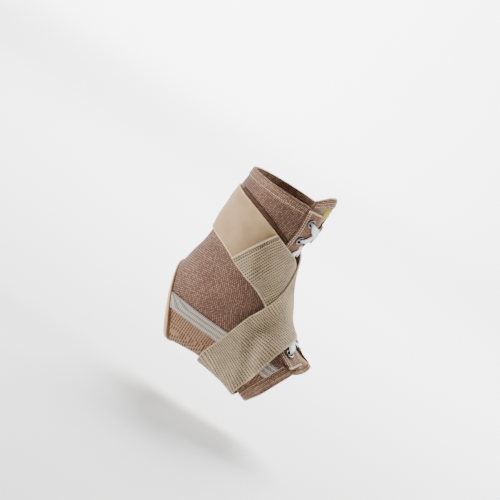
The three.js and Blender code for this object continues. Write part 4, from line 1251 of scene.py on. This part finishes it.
# %% Row of stitches
def stitch_row(name, s, t, height, finish, pitch, length, thick, crosswise=False):
    points, normals = lifted(s, t, height), outward(s, t)
    count = int(running_length(points)[-1] / pitch)
    even = along_line(np.concatenate([points, normals], -1), (np.arange(count) + 0.5) / count)
    ahead = unit(np.gradient(even[:, :3], axis=0))
    bm = bmesh.new()
    for point, along, normal in zip(even[:, :3], ahead, unit(even[:, 3:])):
        side = np.cross(along, normal)
        if crosswise:
            side, along = along, side
        frame_of = Matrix((Vector(side) * thick / 2, Vector(normal) * thick / 2.2, Vector(along) * length / 2))
        place = Matrix.Translation(Vector(point)) @ frame_of.transposed().to_4x4()
        bmesh.ops.create_uvsphere(bm, u_segments=6, v_segments=4, radius=1, matrix=place)
    bmesh.ops.recalc_face_normals(bm, faces=bm.faces)
    settle(name, bm, finish)


def stitch_on_placket(name, sign, s, inward, lift, pitch, length, thick, crosswise=False):
    t = sign * angle_at_arc(s, half_gap(s) + inward)
    height = placket_height(inward) + lift
    stitch_row("stitch_placket_" + name, s, t, height, light_thread, pitch, length, thick, crosswise)


down_placket = np.linspace(0.12, LAST - 0.1, 200)
over_placket = np.linspace(0.6, PLACKET_WIDTH - 0.6, 40)
for side, sign in SIDES:
    for inward in (17.2, 14.4):
        stitch_on_placket(f"{side}_{int(inward)}", sign, down_placket, inward, 0.06, 2.4, 1.6, 0.7)
for side, sign in SIDES:
    for name, end in (("top", 0.09), ("end", LAST - 0.08)):
        stitch_on_placket(f"{name}_{side}", sign, end + 0 * over_placket, over_placket,
                          0.1, 1.2, 2.2, 1.0, True)

for name, edge, down in (("stitch_rim", RIM, 7.2), ("stitch_foot", HEM, 6.7),
                         ("stitch_rim_upper", RIM, 3.0), ("stitch_foot_lower", HEM, 3.0)):
    t = round_the_back(edge, 1, np.linspace(0, 1, 240))
    stitch_row(name, inward_from(edge, down, t), t, 2.75 + 0 * t, light_thread, 2.4, 1.5, 0.7)


def stitch_on_tongue():
    u = np.linspace(-0.93, 0.93, 120)
    for name, edge, down, lift, finish, pitch, length, thick in (
            ("toe", tongue_toe, -4.2, 0.25, dark_thread, 1.9, 1.6, 0.9),
            ("fold", tongue_top, 6.6, 1.1, light_thread, 2.0, 1.4, 0.8),
            ("rim", tongue_top, 3.0, 1.15, light_thread, 2.0, 1.4, 0.6)):
        s = section_at_length(length_at_section(edge(u)) + down)
        t, height, _ = on_tongue(u, s)
        stitch_row("stitch_tongue_" + name, s, t, height + lift, finish, pitch, length, thick)


def finish_strap_end(name, lay):
    """A whipped edge, and beside it a row of dark stitches and a row of light ones."""
    s, t, height = lay
    for k, (inset, finish, pitch, length, thick, crosswise) in enumerate((
            (0.5, light_thread, 1.1, 2.4, 0.9, True), (3.3, dark_thread, 2.3, 1.5, 1.1, False),
            (5.3, light_thread, 2.3, 1.5, 0.6, False))):
        row = -1 - round(inset * STATIONS_PER_RIB / RIB_PITCH)
        stitch_row(f"{name}_{k}", s[row], t[row], height[row] - 0.05, finish, pitch, length, thick, crosswise)


stitch_on_tongue()
finish_strap_end("stitch_strap_under", lower_lay)
finish_strap_end("stitch_strap_over", upper_lay)
